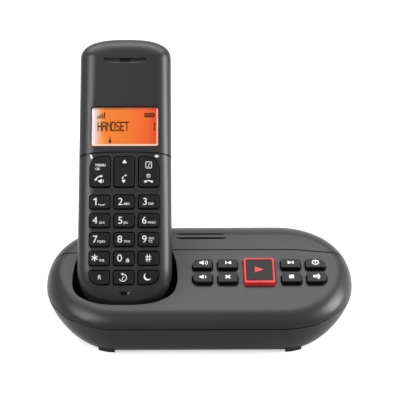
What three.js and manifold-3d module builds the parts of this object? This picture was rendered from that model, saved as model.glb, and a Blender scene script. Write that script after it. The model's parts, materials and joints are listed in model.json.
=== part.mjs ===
// Telephone answering machine: a cordless handset standing in the well of a wide, low desk base.
// Millimetres, Z up. The base is built about its own middle, on the table, with its front towards -Y.
// Two tilted frames carry the rest. In both, X runs across, Y runs up along the face and Z points out
// of it: one lies on the sloping key panel, the other on the front face of the leaning handset.
import * as THREE from 'three';
import { mergeVertices } from 'three/addons/utils/BufferGeometryUtils.js';
import Module from 'manifold-3d';

const wasm = await Module();
wasm.setup();

// Clearances and cutting room
const seatGap = 0.3; // between pieces that touch or rest on each other
const keyGap = 0.35; // round each key in its aperture
const overrun = 60; // how far a cutting solid runs past what it cuts

// Base shell
const baseDepth = 87.4;
const baseEndLength = 38.4; // each elliptical end, along the width
const wellToEnd = 14.65; // side by side along the base: its left end, the well, the keys, its right end
const wellToKeys = 7.75;
const keysToEnd = 14.8;
const undersideHeight = 0.8;
const seamOverJacks = 2.9; // widest line, where the covers meet the bottom housing, above the sockets
const panelHeight = 29.2; // key panel above the table at the middle of the base
const panelSlope = 9.7; // degrees, rising to the back
const frontRim = 11; // how far the rounded rim reaches in at the front
const sideRim = 11.5;
const rearRim = 22;
const sideUndercut = 11.3; // how far the underside lies in from the widest line
const endUndercut = 4.4;
const undercutPowerShare = 1.5; // 2 would be an elliptical section, less is nearer a chamfer
const baseWall = 2.2;
const rearSeamPlace = 9.6; // behind the middle
const shellSeam = 0.4; // open line between two housing shells

// Feet
const footRadius = 4.3;
const footToEnd = 32.7; // middle of a foot from the end of the base
const footSetIn = 3.8; // from the front or rear edge of the flat underside
const footSeatDepth = 1.2;

// Keys of the base
const baseKeyWidth = 10.4;
const baseKeyHeight = 7.1;
const baseKeyCorner = 1.1;
const baseKeyEndCorner = 3.4; // outer corners of the key block
const baseKeyProud = 2;
const baseKeyTravel = 1;
const baseKeyPitch = 13.1;
const baseRowPitch = 11;
const keyBlockUp = -8.8; // middle of the key block on the panel
const playKeyWidth = 16.3;
const playKeyHeight = 19.5;
const playKeyCorner = 1.3;
const playKeySide = 3.15; // from the play key to the key beside it
const playRim = 1.35;
const playPlateDepth = 1;
const flangeWidth = 0.6; // lip under the panel that keeps a key in
const flangeThickness = 1;

// Board and mat under the key panel
const matThickness = 1.2;
const matMargin = 1.4; // past the keys
const boardThickness = 1.6;
const baseBoardMargin = 4.6; // past the keys, across
const baseBoardEdge = 7; // past the keys, up and down
const baseBoardCorner = 8;
const postRadius = 2.2;
const postMargin = 4.6; // past the keys, up and down

// Loudspeaker under the slots of the rear cover
const slotLength = 26.7;
const slotWidth = 1.1;
const slotSpacing = 3.6;
const slotSetForward = 1.6; // middle of the pair, in front of the loudspeaker's middle
const speakerToRear = 8.1; // its rear edge from the rear of the base
const speakerHeight = 9;
const speakerMagnetRadius = 8;
const speakerRimHeight = 1.5;
const speakerBasketHeight = 3;
const speakerConeDepth = 2.4;
const speakerDrop = 7.7; // its top below the crest of the rear rim
const collarWidth = 2;

// Sockets in the rear wall
const jackHeight = 10;
const jackSetBack = 1.2;
const lineJackAcross = 16;
const lineJackWidth = 13.2;
const lineJackDepth = 13;
const lineSocketWidth = 9.8;
const lineSocketHeight = 6.8;
const lineSocketDepth = 9.5;
const lineKeyWidth = 3.4;
const lineKeyHeight = 1.1;
const powerJackAcross = 34;
const powerJackWidth = 9.4;
const powerJackDepth = 13;
const powerBoreRadius = 2.9;
const powerPinRadius = 0.7;
const powerBoreDepth = 9;

// Handset
const handsetLowWidth = 49;
const handsetTopWidth = 47.8;
const handsetLean = 40; // degrees back from upright
const handsetPlace = -30.4; // where its face meets the panel, from the middle of the base
const handsetSink = 5; // its lower end below the panel, along the face
const lowerEndHeight = 24; // height of the rounded lower end
const upperEndHeight = 11.5;
const lowerEndPowerShare = 2.2; // exponents of the two rounded ends
const upperEndPowerShare = 2.6;
const faceEdge = 6; // rounded edge round the flat face
const frontDepth = 8; // face to the seam of the two halves
const bodyDepth = 11; // face to where the back starts to round
const lowerThickness = 23;
const fullThickness = 27.5;
const topThickness = 22;
const backBendPlace = 75; // the back stops widening here
const topBendDrop = 34.4; // and draws in this far below the upper end
const backEdgeSide = 9;
const backEdgeEnd = 11;
const handsetWall = 1.8;
const seamOverKeys = 2.25; // seam of the display surround above the tall keys
const displayOverSeam = 3.3;
const earOverDisplay = 25.4; // middle of the ear slot above the display
const endOverEar = 13.6; // upper end above the middle of the ear slot

// Keys of the handset
const digitWidth = 10.8;
const digitHeight = 7.6;
const digitCorner = 0.9;
const columnPitch = 12.6;
const rowPitch = 9.8;
const lowRowPlace = 17.7; // middle of the lowest row
const lowRowEndCorner = 5.2;
const tallKeyHeight = 16.5;
const tallKeyRise = 15.9; // middle of the tall keys above the top row of digits
const tallKeyEndCorner = 6;
const handsetKeyProud = 0.7;
const handsetKeyTravel = 0.7;
const handsetFlangeWidth = 0.45;
const handsetFlangeThickness = 0.8;
const rockerRoom = 0.7; // free height over the lip of a rocking key

// Inside the handset
const handsetMatThickness = 1;
const matSetIn = 1.5; // from the sides of the board
const handsetMatCorner = 5;
const handsetBoardThickness = 1.4;
const boardSideGap = 1.6; // board to wall at the narrower end
const handsetBoardLow = 8.5;
const boardUnderEar = 8.8;
const handsetBoardCorner = 12;
const handsetPostRadius = 1.4;
const lowPostAcross = 8;
const lowPostPlace = 10.6;
const highPostAcross = 13;
const highPostDrop = 7; // below the upper end of the board
const displayWidth = 34.9;
const displayHeight = 20.8;
const displayCorner = 1;
const displayLedge = 1.2;
const lensThickness = 1.1;
const panelModuleWidth = 34.4;
const panelModuleHeight = 24;
const earSlotWidth = 22.6;
const earSlotHeight = 2.6;
const receiverRadius = 7;
const receiverThickness = 3;
const micSlotWidth = 4.4;
const micSlotHeight = 1.9;
const micPlace = 9.8;
const micRadius = 2.8;
const micThickness = 2.2;

// Battery bay, measured along and in from the sloping back
const doorWidth = 30;
const doorLow = 8.5;
const doorHigh = 73.5;
const doorCorner = 2.5;
const doorThickness = 2;
const bayWall = 1.2;
const cellRadius = 5.25;
const cellLength = 44.5;
const cellNubRadius = 1.9;
const cellNubLength = 0.9;
const cellPitch = 11.1;
const bayLow = 23;
const terminalThickness = 0.5;
const terminalWidth = 7;

// Well and charging contacts
const wellSideGap = 2.8; // handset to well, at each side
const wellFaceGap = 1.2;
const wellEndGap = 2;
const wellBackGap = 2.5;
const wellEndHeight = 22;
const wellFaceDepth = 8;
const wellFaceSide = 12; // rounded front corners of the opening
const wellFaceEnd = 6;
const wellBackSide = 6;
const wellTop = 60; // the cutting solid ends here, above the panel
const linerWall = 1.8;
const padWidth = 4;
const padHeight = 1.6;
const padThickness = 2.6;
const padAcross = 6;
const padPlace = 1; // above the lower end
const padDepth = 13; // behind the face
const contactWidth = 2.6;
const contactThickness = 1;
const contactLength = 8.4;
const contactSlotGap = 0.4;
const restRibWidth = 1.6;
const restRibAcross = 13;
const restRibLength = 6;

// Smoothness of curved surfaces, in steps
const endSteps = 7;
const rimSteps = 4;
const cornerSteps = 3;
const roundSteps = 16;

const rad = THREE.MathUtils.degToRad;

// Handset keys, from the top row down
const digitNames = [
  ['key_1', 'key_2', 'key_3'],
  ['key_4', 'key_5', 'key_6'],
  ['key_7', 'key_8', 'key_9'],
  ['key_star', 'key_0', 'key_hash'],
  ['recall_key', 'redial_key', 'mute_key'],
];

// Layout along the handset, stacked from its lower end
const topRowPlace = lowRowPlace + (digitNames.length - 1) * rowPitch;
const tallKeyPlace = topRowPlace + tallKeyRise;
const frontSeamPlace = tallKeyPlace + tallKeyHeight / 2 + seamOverKeys;
const displayPlace = frontSeamPlace + displayOverSeam + displayHeight / 2;
const earPlace = displayPlace + displayHeight / 2 + earOverDisplay;
const handsetLength = earPlace + endOverEar;
const topBendPlace = handsetLength - topBendDrop;
const handsetBoardHigh = earPlace - boardUnderEar;
const highPostPlace = handsetBoardHigh - highPostDrop;
const handsetBoardWidth = Math.min(handsetLowWidth, handsetTopWidth) - 2 * (handsetWall + boardSideGap);
const handsetMatWidth = handsetBoardWidth - 2 * matSetIn;

// Layout up through the base
const jackFloor = undersideHeight + baseWall + seatGap;
const seamHeight = jackFloor + jackHeight + seamOverJacks;

// Layout across the base, from its left end to its right end
const innerColumn = playKeyWidth / 2 + playKeySide + baseKeyWidth / 2;
const outerColumn = innerColumn + baseKeyPitch;
const keyBlockWidth = 2 * outerColumn + baseKeyWidth;
const keyBlockHeight = baseRowPitch + baseKeyHeight;
const wellHalfWidth = handsetLowWidth / 2 + wellSideGap;
const baseWidth = wellToEnd + 2 * wellHalfWidth + wellToKeys + keyBlockWidth + keysToEnd;
const handsetAcross = wellToEnd + wellHalfWidth - baseWidth / 2;
const keyBlockAcross = baseWidth / 2 - keysToEnd - keyBlockWidth / 2;

// Finishes
const finishes = {
  charcoalPlastic: { color: 0x3a3a3b, roughness: 0.62, metalness: 0 },
  blackPlastic: { color: 0x1b1b1c, roughness: 0.7, metalness: 0 },
  keyRubber: { color: 0x2b2b2c, roughness: 0.72, metalness: 0 },
  redPlastic: { color: 0xd8363a, roughness: 0.4, metalness: 0 },
  playPlate: { color: 0x4a4242, roughness: 0.55, metalness: 0 },
  clearPlastic: { color: 0xf08a2c, roughness: 0.15, metalness: 0 },
  displayGlass: { color: 0xf07c24, roughness: 0.3, metalness: 0 },
  greenBoard: { color: 0x1f5a36, roughness: 0.5, metalness: 0 },
  greyRubber: { color: 0x6a6a6a, roughness: 0.85, metalness: 0 },
  footRubber: { color: 0x202020, roughness: 0.9, metalness: 0 },
  brightMetal: { color: 0xb9bcc0, roughness: 0.3, metalness: 1 },
  cellSleeve: { color: 0x2f7d4a, roughness: 0.4, metalness: 0 },
};

// Solids and meshes

function solidOf(geometry) {
  const bare = geometry.index ? geometry.clone() : geometry;
  bare.deleteAttribute('normal');
  bare.deleteAttribute('uv');
  const merged = mergeVertices(bare);
  return new wasm.Manifold(new wasm.Mesh({
    numProp: 3,
    vertProperties: new Float32Array(merged.attributes.position.array),
    triVerts: new Uint32Array(merged.index.array),
  }));
}

function meshOf(name, solid, finish) {
  const { vertProperties, triVerts } = solid.getMesh();
  const geometry = new THREE.BufferGeometry();
  geometry.setAttribute('position', new THREE.BufferAttribute(new Float32Array(vertProperties), 3));
  geometry.setIndex(new THREE.BufferAttribute(new Uint32Array(triVerts), 1));
  geometry.computeVertexNormals();
  const mesh = new THREE.Mesh(geometry, new THREE.MeshStandardMaterial(finishes[finish]));
  mesh.name = name;
  return mesh;
}

function moved(solid, matrix) {
  return solid.transform(matrix.elements);
}

// A block between two corners
function block(low, high) {
  const size = high.map((value, k) => value - low[k]);
  const middle = high.map((value, k) => (value + low[k]) / 2);
  return solidOf(new THREE.BoxGeometry(...size).translate(...middle));
}

// An upright round bar, its axis along Z
function bar(radius, across, up, low, high) {
  const geometry = new THREE.CylinderGeometry(radius, radius, high - low, roundSteps);
  return solidOf(geometry.rotateX(Math.PI / 2).translate(across, up, (low + high) / 2));
}

// A plate with four corner radii, given anticlockwise from the lower left, between two heights
function plate(width, height, corners, low, high, across = 0, up = 0) {
  const signs = [[-1, -1], [1, -1], [1, 1], [-1, 1]];
  const outline = signs.flatMap(([sx, sy], corner) => {
    const radius = corners[corner];
    const start = Math.PI + (corner * Math.PI) / 2;
    const turn = Array.from({ length: cornerSteps + 1 }, (_, k) => start + (k / cornerSteps) * (Math.PI / 2));
    return turn.map((angle) => new THREE.Vector2(
      across + sx * (width / 2 - radius) + radius * Math.cos(angle),
      up + sy * (height / 2 - radius) + radius * Math.sin(angle),
    ));
  });
  const settings = { depth: high - low, bevelEnabled: false };
  const geometry = new THREE.ExtrudeGeometry(new THREE.Shape(outline), settings);
  return solidOf(geometry.translate(0, 0, low));
}

function roundPlate(width, height, radius, low, high, across = 0, up = 0) {
  return plate(width, height, [radius, radius, radius, radius], low, high, across, up);
}

// Closed solid through a stack of rings, lowest first. A ring starts at the middle of its near edge and
// runs anticlockwise, and its left side mirrors its right, so that both caps are ladders of quads.
function loft(rings) {
  const count = rings[0].length;
  const position = rings.flat().flatMap((point) => [point.x, point.y, point.z]);
  const index = [];
  const quad = (a, b, c, d) => {
    if (a !== b && b !== c && a !== c) index.push(a, b, c);
    if (a !== c && c !== d && a !== d) index.push(a, c, d);
  };
  for (let ring = 0; ring < rings.length - 1; ring += 1) {
    for (let k = 0; k < count; k += 1) {
      const next = (k + 1) % count;
      quad(ring * count + k, ring * count + next, (ring + 1) * count + next, (ring + 1) * count + k);
    }
  }
  const top = (rings.length - 1) * count;
  for (let k = 0; k < count / 2; k += 1) {
    const left = (count - k) % count;
    const leftNext = count - k - 1;
    quad(left, leftNext, k + 1, k);
    quad(top + k, top + k + 1, top + leftNext, top + left);
  }
  const geometry = new THREE.BufferGeometry();
  geometry.setAttribute('position', new THREE.Float32BufferAttribute(position, 3));
  geometry.setIndex(index);
  return solidOf(geometry);
}

// Full ring from the right half of an outline, with a height for each point
function ringOf(half, heightAt) {
  const right = half.map(([x, y], k) => new THREE.Vector3(x, y, heightAt(y, k)));
  const left = right.slice(1, -1).reverse().map((point) => new THREE.Vector3(-point.x, point.y, point.z));
  return [...right, ...left];
}

// Quarter turns from 0 to 90 degrees as [how far the surface has come in, how far it has risen]
function quarter(steps, powerShare = 2) {
  return Array.from({ length: steps + 1 }, (_, k) => {
    const angle = (k / steps) * (Math.PI / 2);
    const along = Math.max(Math.cos(angle), 0) ** (2 / powerShare);
    return [1 - along, Math.sin(angle) ** (2 / powerShare)];
  });
}

// Base: an outline with straight front and back and elliptical ends, rounded in above and below the seam

const panelTilt = Math.tan(rad(panelSlope));
const panelRise = (y) => panelHeight + panelTilt * y;

const speakerRadius = (baseDepth / 2 - rearSeamPlace - speakerToRear) / 2;
const speakerUp = rearSeamPlace + speakerRadius;
const speakerTop = panelRise(baseDepth / 2 - rearRim) - speakerDrop;
const slotPlace = speakerUp - slotSetForward;

function baseOutline(inward, side, front, rear) {
  const straight = baseWidth / 2 - baseEndLength;
  const endReach = baseEndLength - inward - side;
  const half = [[0, -(baseDepth / 2 - inward - front)]];
  for (let k = 0; k <= 2 * endSteps; k += 1) {
    const angle = (k / endSteps - 1) * (Math.PI / 2);
    const reach = baseDepth / 2 - inward - (angle < 0 ? front : rear);
    half.push([straight + endReach * Math.cos(angle), reach * Math.sin(angle)]);
  }
  half.push([0, baseDepth / 2 - inward - rear]);
  return half;
}

// The whole base as one solid, its surface moved inward
function baseSolid(inward) {
  const floor = undersideHeight + inward;
  const below = quarter(rimSteps, undercutPowerShare).reverse().map(([inset, drop]) => ringOf(
    baseOutline(inward, sideUndercut * inset, endUndercut * inset, endUndercut * inset),
    () => seamHeight - (seamHeight - floor) * drop,
  ));
  const crest = baseOutline(inward, sideRim, frontRim, rearRim).map(([, y]) => panelRise(y) - inward);
  const above = quarter(rimSteps).slice(1).map(([inset, rise]) => ringOf(
    baseOutline(inward, sideRim * inset, frontRim * inset, rearRim * inset),
    (y, k) => seamHeight + (crest[k] - seamHeight) * rise,
  ));
  return loft([...below, ...above]);
}

// Handset and well: a tall slab with superelliptical ends, whose edges round in to its face and its back

function slabOutline(shape, side, end) {
  const { halfWidth, low, high, lowerEnd, upperEnd } = shape;
  const half = [];
  for (let k = 0; k <= endSteps; k += 1) {
    const angle = (k / endSteps) * (Math.PI / 2);
    const height = (lowerEnd - end) * (1 - Math.cos(angle) ** (2 / lowerEndPowerShare));
    const y = low + end + height;
    half.push([(halfWidth(y) - side) * Math.sin(angle) ** (2 / lowerEndPowerShare), y]);
  }
  for (const y of shape.bends) half.push([halfWidth(y) - side, y]);
  for (let k = 0; k <= endSteps; k += 1) {
    const angle = (k / endSteps) * (Math.PI / 2);
    const height = Math.max(upperEnd - end, 0) * (1 - Math.sin(angle) ** (2 / upperEndPowerShare));
    const y = high - Math.min(end, upperEnd) - height;
    half.push([(halfWidth(y) - side) * Math.cos(angle) ** (2 / upperEndPowerShare), y]);
  }
  half[0][0] = 0;
  half[half.length - 1][0] = 0;
  return half;
}

function slabSolid(shape) {
  const backRings = quarter(rimSteps).reverse().map(([inset, drop]) => ringOf(
    slabOutline(shape, shape.backSide * inset, shape.backEnd * inset),
    (y) => -(shape.bodyDepth + (shape.back(y) - shape.bodyDepth) * drop),
  ));
  const faceRings = quarter(rimSteps).map(([inset, rise]) => ringOf(
    slabOutline(shape, shape.faceSide * inset, shape.faceEnd * inset),
    () => -shape.faceDepth + (shape.faceDepth + shape.face) * rise,
  ));
  return loft([...backRings, ...faceRings]);
}

const backSlope = (fullThickness - lowerThickness) / backBendPlace;

function thicknessAt(y) {
  if (y < backBendPlace) return lowerThickness + backSlope * y;
  if (y < topBendPlace) return fullThickness;
  const share = (y - topBendPlace) / (handsetLength - topBendPlace);
  return fullThickness - (fullThickness - topThickness) * share * share;
}

const widthSlope = (handsetLowWidth - handsetTopWidth) / handsetLength;
const halfWidthAt = (y) => (handsetLowWidth - widthSlope * y) / 2;

// The handset's shape with its surface moved inward
function handsetShape(inward) {
  return {
    halfWidth: (y) => halfWidthAt(y) - inward,
    low: inward,
    high: handsetLength - inward,
    lowerEnd: lowerEndHeight - inward,
    upperEnd: upperEndHeight - inward,
    bends: [backBendPlace, topBendPlace, (topBendPlace + handsetLength - upperEndHeight) / 2],
    face: -inward,
    faceDepth: frontDepth,
    faceSide: faceEdge - inward,
    faceEnd: faceEdge - inward,
    bodyDepth,
    back: (y) => thicknessAt(y) - inward,
    backSide: backEdgeSide - inward,
    backEnd: backEdgeEnd,
  };
}

// The well's space with its surface moved outward
function wellShape(outward) {
  return {
    halfWidth: () => wellHalfWidth + outward,
    low: -wellEndGap - outward,
    high: wellTop,
    lowerEnd: wellEndHeight + outward,
    upperEnd: 0,
    bends: [],
    face: wellFaceGap + outward,
    faceDepth: wellFaceDepth - wellFaceGap,
    faceSide: wellFaceSide,
    faceEnd: wellFaceEnd,
    bodyDepth: bodyDepth + wellFaceGap,
    back: (y) => thicknessAt(y) + wellBackGap + outward,
    backSide: wellBackSide,
    backEnd: backEdgeEnd,
  };
}

// Frames

const panelFrame = new THREE.Matrix4().makeRotationX(rad(panelSlope)).setPosition(0, 0, panelHeight);

const handsetTurn = rad(90 - handsetLean);
const handsetFrame = new THREE.Matrix4().makeRotationX(handsetTurn).setPosition(
  handsetAcross,
  handsetPlace - handsetSink * Math.cos(handsetTurn),
  panelRise(handsetPlace) - handsetSink * Math.sin(handsetTurn),
);

// On the handset's sloping back: Y up along the back from the lower end, Z into the handset
const backTilt = Math.atan(backSlope);
const backFrame = new THREE.Matrix4().makeRotationX(-backTilt).setPosition(0, 0, -lowerThickness);

// Keys: the same cap for panel and handset, with its retaining lip under the wall

function keySolid(key, wall, proud, lipWidth, lipThickness, lipRoom) {
  const lipTop = -wall - lipRoom;
  const cap = plate(key.width, key.height, key.corners, lipTop - lipThickness, proud, key.across, key.up);
  const lipCorners = key.corners.map((radius) => radius + lipWidth);
  const lip = plate(
    key.width + 2 * lipWidth, key.height + 2 * lipWidth, lipCorners,
    lipTop - lipThickness, lipTop, key.across, key.up,
  );
  return cap.add(lip);
}

function keyAperture(key) {
  const corners = key.corners.map((radius) => radius + keyGap);
  return plate(
    key.width + 2 * keyGap, key.height + 2 * keyGap, corners, -overrun, overrun, key.across, key.up,
  );
}

// The eight small base keys stand in two rows of four, two on each side of the play key
const baseKeyNames = [
  ['volume_up_key', 'previous_key', 'next_key', 'answer_on_off_key'],
  ['volume_down_key', 'delete_key', 'stop_key', 'find_handset_key'],
];
const baseKeys = baseKeyNames.flatMap((names, row) => names.map((name, column) => {
  const corners = [baseKeyCorner, baseKeyCorner, baseKeyCorner, baseKeyCorner];
  if (column === 0) corners[row === 0 ? 3 : 0] = baseKeyEndCorner;
  if (column === 3) corners[row === 0 ? 2 : 1] = baseKeyEndCorner;
  return {
    name,
    corners,
    width: baseKeyWidth,
    height: baseKeyHeight,
    across: keyBlockAcross + [-outerColumn, -innerColumn, innerColumn, outerColumn][column],
    up: keyBlockUp + (row === 0 ? 1 : -1) * (baseRowPitch / 2),
  };
}));
const playKey = {
  width: playKeyWidth,
  height: playKeyHeight,
  corners: [playKeyCorner, playKeyCorner, playKeyCorner, playKeyCorner],
  across: keyBlockAcross,
  up: keyBlockUp,
};

// Handset keys: three tall rockers, four rows of digits and a lowest row with rounded outer corners
const columns = [-columnPitch, 0, columnPitch];
const tallKeys = ['menu_call_rocker', 'up_down_rocker', 'phonebook_end_rocker'].map((name, column) => {
  const corners = [digitCorner, digitCorner, digitCorner, digitCorner];
  if (column === 0) corners[3] = tallKeyEndCorner;
  if (column === 2) corners[2] = tallKeyEndCorner;
  const across = columns[column];
  return { name, corners, width: digitWidth, height: tallKeyHeight, across, up: tallKeyPlace };
});
const digitKeys = digitNames.flatMap((names, row) => names.map((name, column) => {
  const corners = [digitCorner, digitCorner, digitCorner, digitCorner];
  const lowest = row === digitNames.length - 1;
  if (lowest && column === 0) corners[0] = lowRowEndCorner;
  if (lowest && column === 2) corners[1] = lowRowEndCorner;
  const up = lowRowPlace + (digitNames.length - 1 - row) * rowPitch;
  return { name, corners, width: digitWidth, height: digitHeight, across: columns[column], up };
}));

// Heights under the key panel and under the handset's face, each from the one above it
const baseLipBottom = -baseWall - seatGap - flangeThickness;
const baseMatTop = baseLipBottom - baseKeyTravel - seatGap;
const baseBoardTop = baseMatTop - matThickness - seatGap;
const lipBottom = -handsetWall - seatGap - handsetFlangeThickness;
const matTop = lipBottom - handsetKeyTravel - seatGap;
const boardTop = matTop - handsetMatThickness - seatGap;

// Base shells

const baseOuter = baseSolid(0);
const baseShell = baseOuter.subtract(baseSolid(baseWall));
const wellSpace = moved(slabSolid(wellShape(0)), handsetFrame);
const wideLow = [-baseWidth, -baseDepth]; // corners of a cutting block that is wider than the base
const wideHigh = [baseWidth, baseDepth];

const footPlaces = ['left', 'right'].flatMap((side, s) => ['front', 'rear'].map((end, e) => ({
  name: `foot_${end}_${side}`,
  across: (s === 0 ? -1 : 1) * (baseWidth / 2 - footToEnd),
  up: (e === 0 ? -1 : 1) * (baseDepth / 2 - endUndercut - footSetIn),
})));

const jackFace = baseDepth / 2 - jackSetBack;

function jackHole(across, width) {
  return block(
    [across - width / 2 - seatGap, jackFace - jackSetBack - 2 * baseWall, jackFloor],
    [across + width / 2 + seatGap, baseDepth, jackFloor + jackHeight + seatGap],
  );
}

function bottomHousing() {
  let solid = baseShell.intersect(block([...wideLow, -overrun], [...wideHigh, seamHeight - shellSeam / 2]));
  for (const foot of footPlaces) {
    const seatTop = undersideHeight + footSeatDepth;
    solid = solid.subtract(bar(footRadius + seatGap, foot.across, foot.up, -overrun, seatTop));
  }
  solid = solid.subtract(jackHole(lineJackAcross, lineJackWidth));
  return solid.subtract(jackHole(powerJackAcross, powerJackWidth));
}

const postPlaces = [-1, 1].flatMap((side) => [-1, 1].map((end) => [
  keyBlockAcross + side * innerColumn,
  keyBlockUp + end * (keyBlockHeight / 2 + postMargin),
]));

function topCover() {
  let solid = baseShell.intersect(block(
    [...wideLow, seamHeight + shellSeam / 2], [baseWidth, rearSeamPlace - shellSeam / 2, overrun],
  ));
  for (const [across, up] of postPlaces) {
    solid = solid.add(moved(bar(postRadius, across, up, baseBoardTop + seatGap, -baseWall / 2), panelFrame));
  }
  for (const key of [...baseKeys, playKey]) solid = solid.subtract(moved(keyAperture(key), panelFrame));
  return solid.subtract(wellSpace);
}

function rearCover() {
  const region = block(
    [-baseWidth, rearSeamPlace + shellSeam / 2, seamHeight + shellSeam / 2], [...wideHigh, overrun],
  );
  const collar = bar(speakerRadius + seatGap, 0, speakerUp, speakerTop + seatGap, overrun)
    .subtract(bar(speakerRadius - collarWidth, 0, speakerUp, -overrun, overrun))
    .intersect(baseSolid(baseWall / 2));
  let solid = baseShell.add(collar).intersect(region);
  for (const side of [-1, 1]) {
    const slot = roundPlate(
      slotLength, slotWidth, slotWidth / 2, -overrun, overrun, 0, slotPlace + (side * slotSpacing) / 2,
    );
    solid = solid.subtract(slot);
  }
  return solid.subtract(wellSpace);
}

// The liner hangs under the covers. It has two ribs that the handset stands on and a slot for each contact.
function cradleWell() {
  const ribSpace = slabSolid(wellShape(linerWall / 2)).subtract(slabSolid(handsetShape(-seatGap)));
  const slotHalfWidth = contactWidth / 2 + contactSlotGap;
  const slotHalfDepth = contactThickness / 2 + contactSlotGap;
  let liner = slabSolid(wellShape(linerWall)).subtract(slabSolid(wellShape(0)));
  for (const side of [-1, 1]) {
    const rib = block(
      [side * restRibAcross - restRibWidth / 2, -overrun, -padDepth - restRibLength / 2],
      [side * restRibAcross + restRibWidth / 2, lowerEndHeight / 2, -padDepth + restRibLength / 2],
    );
    const slot = block(
      [side * padAcross - slotHalfWidth, -overrun, -padDepth - slotHalfDepth],
      [side * padAcross + slotHalfWidth, 0, -padDepth + slotHalfDepth],
    );
    liner = liner.add(rib.intersect(ribSpace)).subtract(slot);
  }
  return moved(liner, handsetFrame).intersect(baseSolid(baseWall + seatGap));
}

// Electronics of the base

function loudspeaker() {
  const low = speakerTop - speakerHeight;
  const shoulder = speakerTop - speakerRimHeight - speakerBasketHeight;
  const profile = [
    [0, low],
    [speakerMagnetRadius, low],
    [speakerMagnetRadius, shoulder],
    [speakerRadius, speakerTop - speakerRimHeight],
    [speakerRadius, speakerTop],
    [speakerRadius - collarWidth / 2, speakerTop],
    [speakerMagnetRadius / 2, speakerTop - speakerConeDepth],
    [0, speakerTop - speakerConeDepth / 2],
  ].map(([radius, height]) => new THREE.Vector2(radius, height));
  const geometry = new THREE.LatheGeometry(profile, roundSteps).rotateX(Math.PI / 2);
  return solidOf(geometry.translate(0, speakerUp, 0));
}

function jackBlock(across, width, depth) {
  return block(
    [across - width / 2, jackFace - depth, jackFloor],
    [across + width / 2, jackFace, jackFloor + jackHeight],
  );
}

function lineJack() {
  const middle = jackFloor + jackHeight / 2;
  const socket = block(
    [lineJackAcross - lineSocketWidth / 2, jackFace - lineSocketDepth, middle - lineSocketHeight / 2],
    [lineJackAcross + lineSocketWidth / 2, jackFace + overrun, middle + lineSocketHeight / 2],
  );
  const keyway = block(
    [lineJackAcross - lineKeyWidth / 2, jackFace - lineSocketDepth, middle],
    [lineJackAcross + lineKeyWidth / 2, jackFace + overrun, middle + lineSocketHeight / 2 + lineKeyHeight],
  );
  return jackBlock(lineJackAcross, lineJackWidth, lineJackDepth).subtract(socket).subtract(keyway);
}

function powerJack() {
  const middle = jackFloor + jackHeight / 2;
  const along = (radius, near, far) => {
    const geometry = new THREE.CylinderGeometry(radius, radius, far - near, roundSteps);
    return solidOf(geometry.translate(powerJackAcross, (near + far) / 2, middle));
  };
  const bore = along(powerBoreRadius, jackFace - powerBoreDepth, jackFace + overrun);
  const pin = along(powerPinRadius, jackFace - powerBoreDepth - seatGap, jackFace - powerPinRadius);
  return jackBlock(powerJackAcross, powerJackWidth, powerJackDepth).subtract(bore).add(pin);
}

// Base pieces in the base's own frame

const machine = new THREE.Group();
const base = new THREE.Group();
machine.add(base);

base.add(meshOf('base_bottom_housing', bottomHousing(), 'charcoalPlastic'));
base.add(meshOf('base_top_cover', topCover(), 'charcoalPlastic'));
base.add(meshOf('base_rear_cover', rearCover(), 'charcoalPlastic'));
base.add(meshOf('cradle_well', cradleWell(), 'blackPlastic'));
base.add(meshOf('loudspeaker', loudspeaker(), 'blackPlastic'));
base.add(meshOf('line_jack', lineJack(), 'blackPlastic'));
base.add(meshOf('power_jack', powerJack(), 'blackPlastic'));
for (const foot of footPlaces) {
  const top = undersideHeight + footSeatDepth - seatGap;
  base.add(meshOf(foot.name, bar(footRadius, foot.across, foot.up, 0, top), 'footRubber'));
}

// Pieces on the key panel

const panel = new THREE.Group();
panel.applyMatrix4(panelFrame);
base.add(panel);

for (const key of baseKeys) {
  const solid = keySolid(key, baseWall, baseKeyProud, flangeWidth, flangeThickness, seatGap);
  panel.add(meshOf(key.name, solid, 'keyRubber'));
}

const plateWidth = playKeyWidth - 2 * playRim;
const plateHeight = playKeyHeight - 2 * playRim;
const plateSeat = roundPlate(
  plateWidth, plateHeight, playKeyCorner,
  baseKeyProud - playPlateDepth - seatGap, overrun, playKey.across, playKey.up,
);
const playSolid = keySolid(playKey, baseWall, baseKeyProud, flangeWidth, flangeThickness, seatGap);
panel.add(meshOf('play_key', playSolid.subtract(plateSeat), 'redPlastic'));
panel.add(meshOf('play_key_plate', roundPlate(
  plateWidth - 2 * seatGap, plateHeight - 2 * seatGap, playKeyCorner,
  baseKeyProud - playPlateDepth, baseKeyProud, playKey.across, playKey.up,
), 'playPlate'));

panel.add(meshOf('base_key_mat', roundPlate(
  keyBlockWidth + 2 * matMargin, keyBlockHeight + 2 * matMargin, baseKeyEndCorner,
  baseMatTop - matThickness, baseMatTop, keyBlockAcross, keyBlockUp,
), 'greyRubber'));
panel.add(meshOf('base_circuit_board', roundPlate(
  keyBlockWidth + 2 * baseBoardMargin, keyBlockHeight + 2 * baseBoardEdge, baseBoardCorner,
  baseBoardTop - boardThickness, baseBoardTop, keyBlockAcross, keyBlockUp,
), 'greenBoard'));

// Handset shells

const handsetOuter = slabSolid(handsetShape(0));
const handsetShell = handsetOuter.subtract(slabSolid(handsetShape(handsetWall)));
const frontHalf = handsetShell.intersect(block(
  [-overrun, -overrun, -frontDepth + shellSeam / 2], [overrun, handsetLength + overrun, overrun],
));

function boardPost(across, up) {
  return bar(handsetPostRadius, across, up, boardTop + seatGap, -handsetWall / 2);
}

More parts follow.
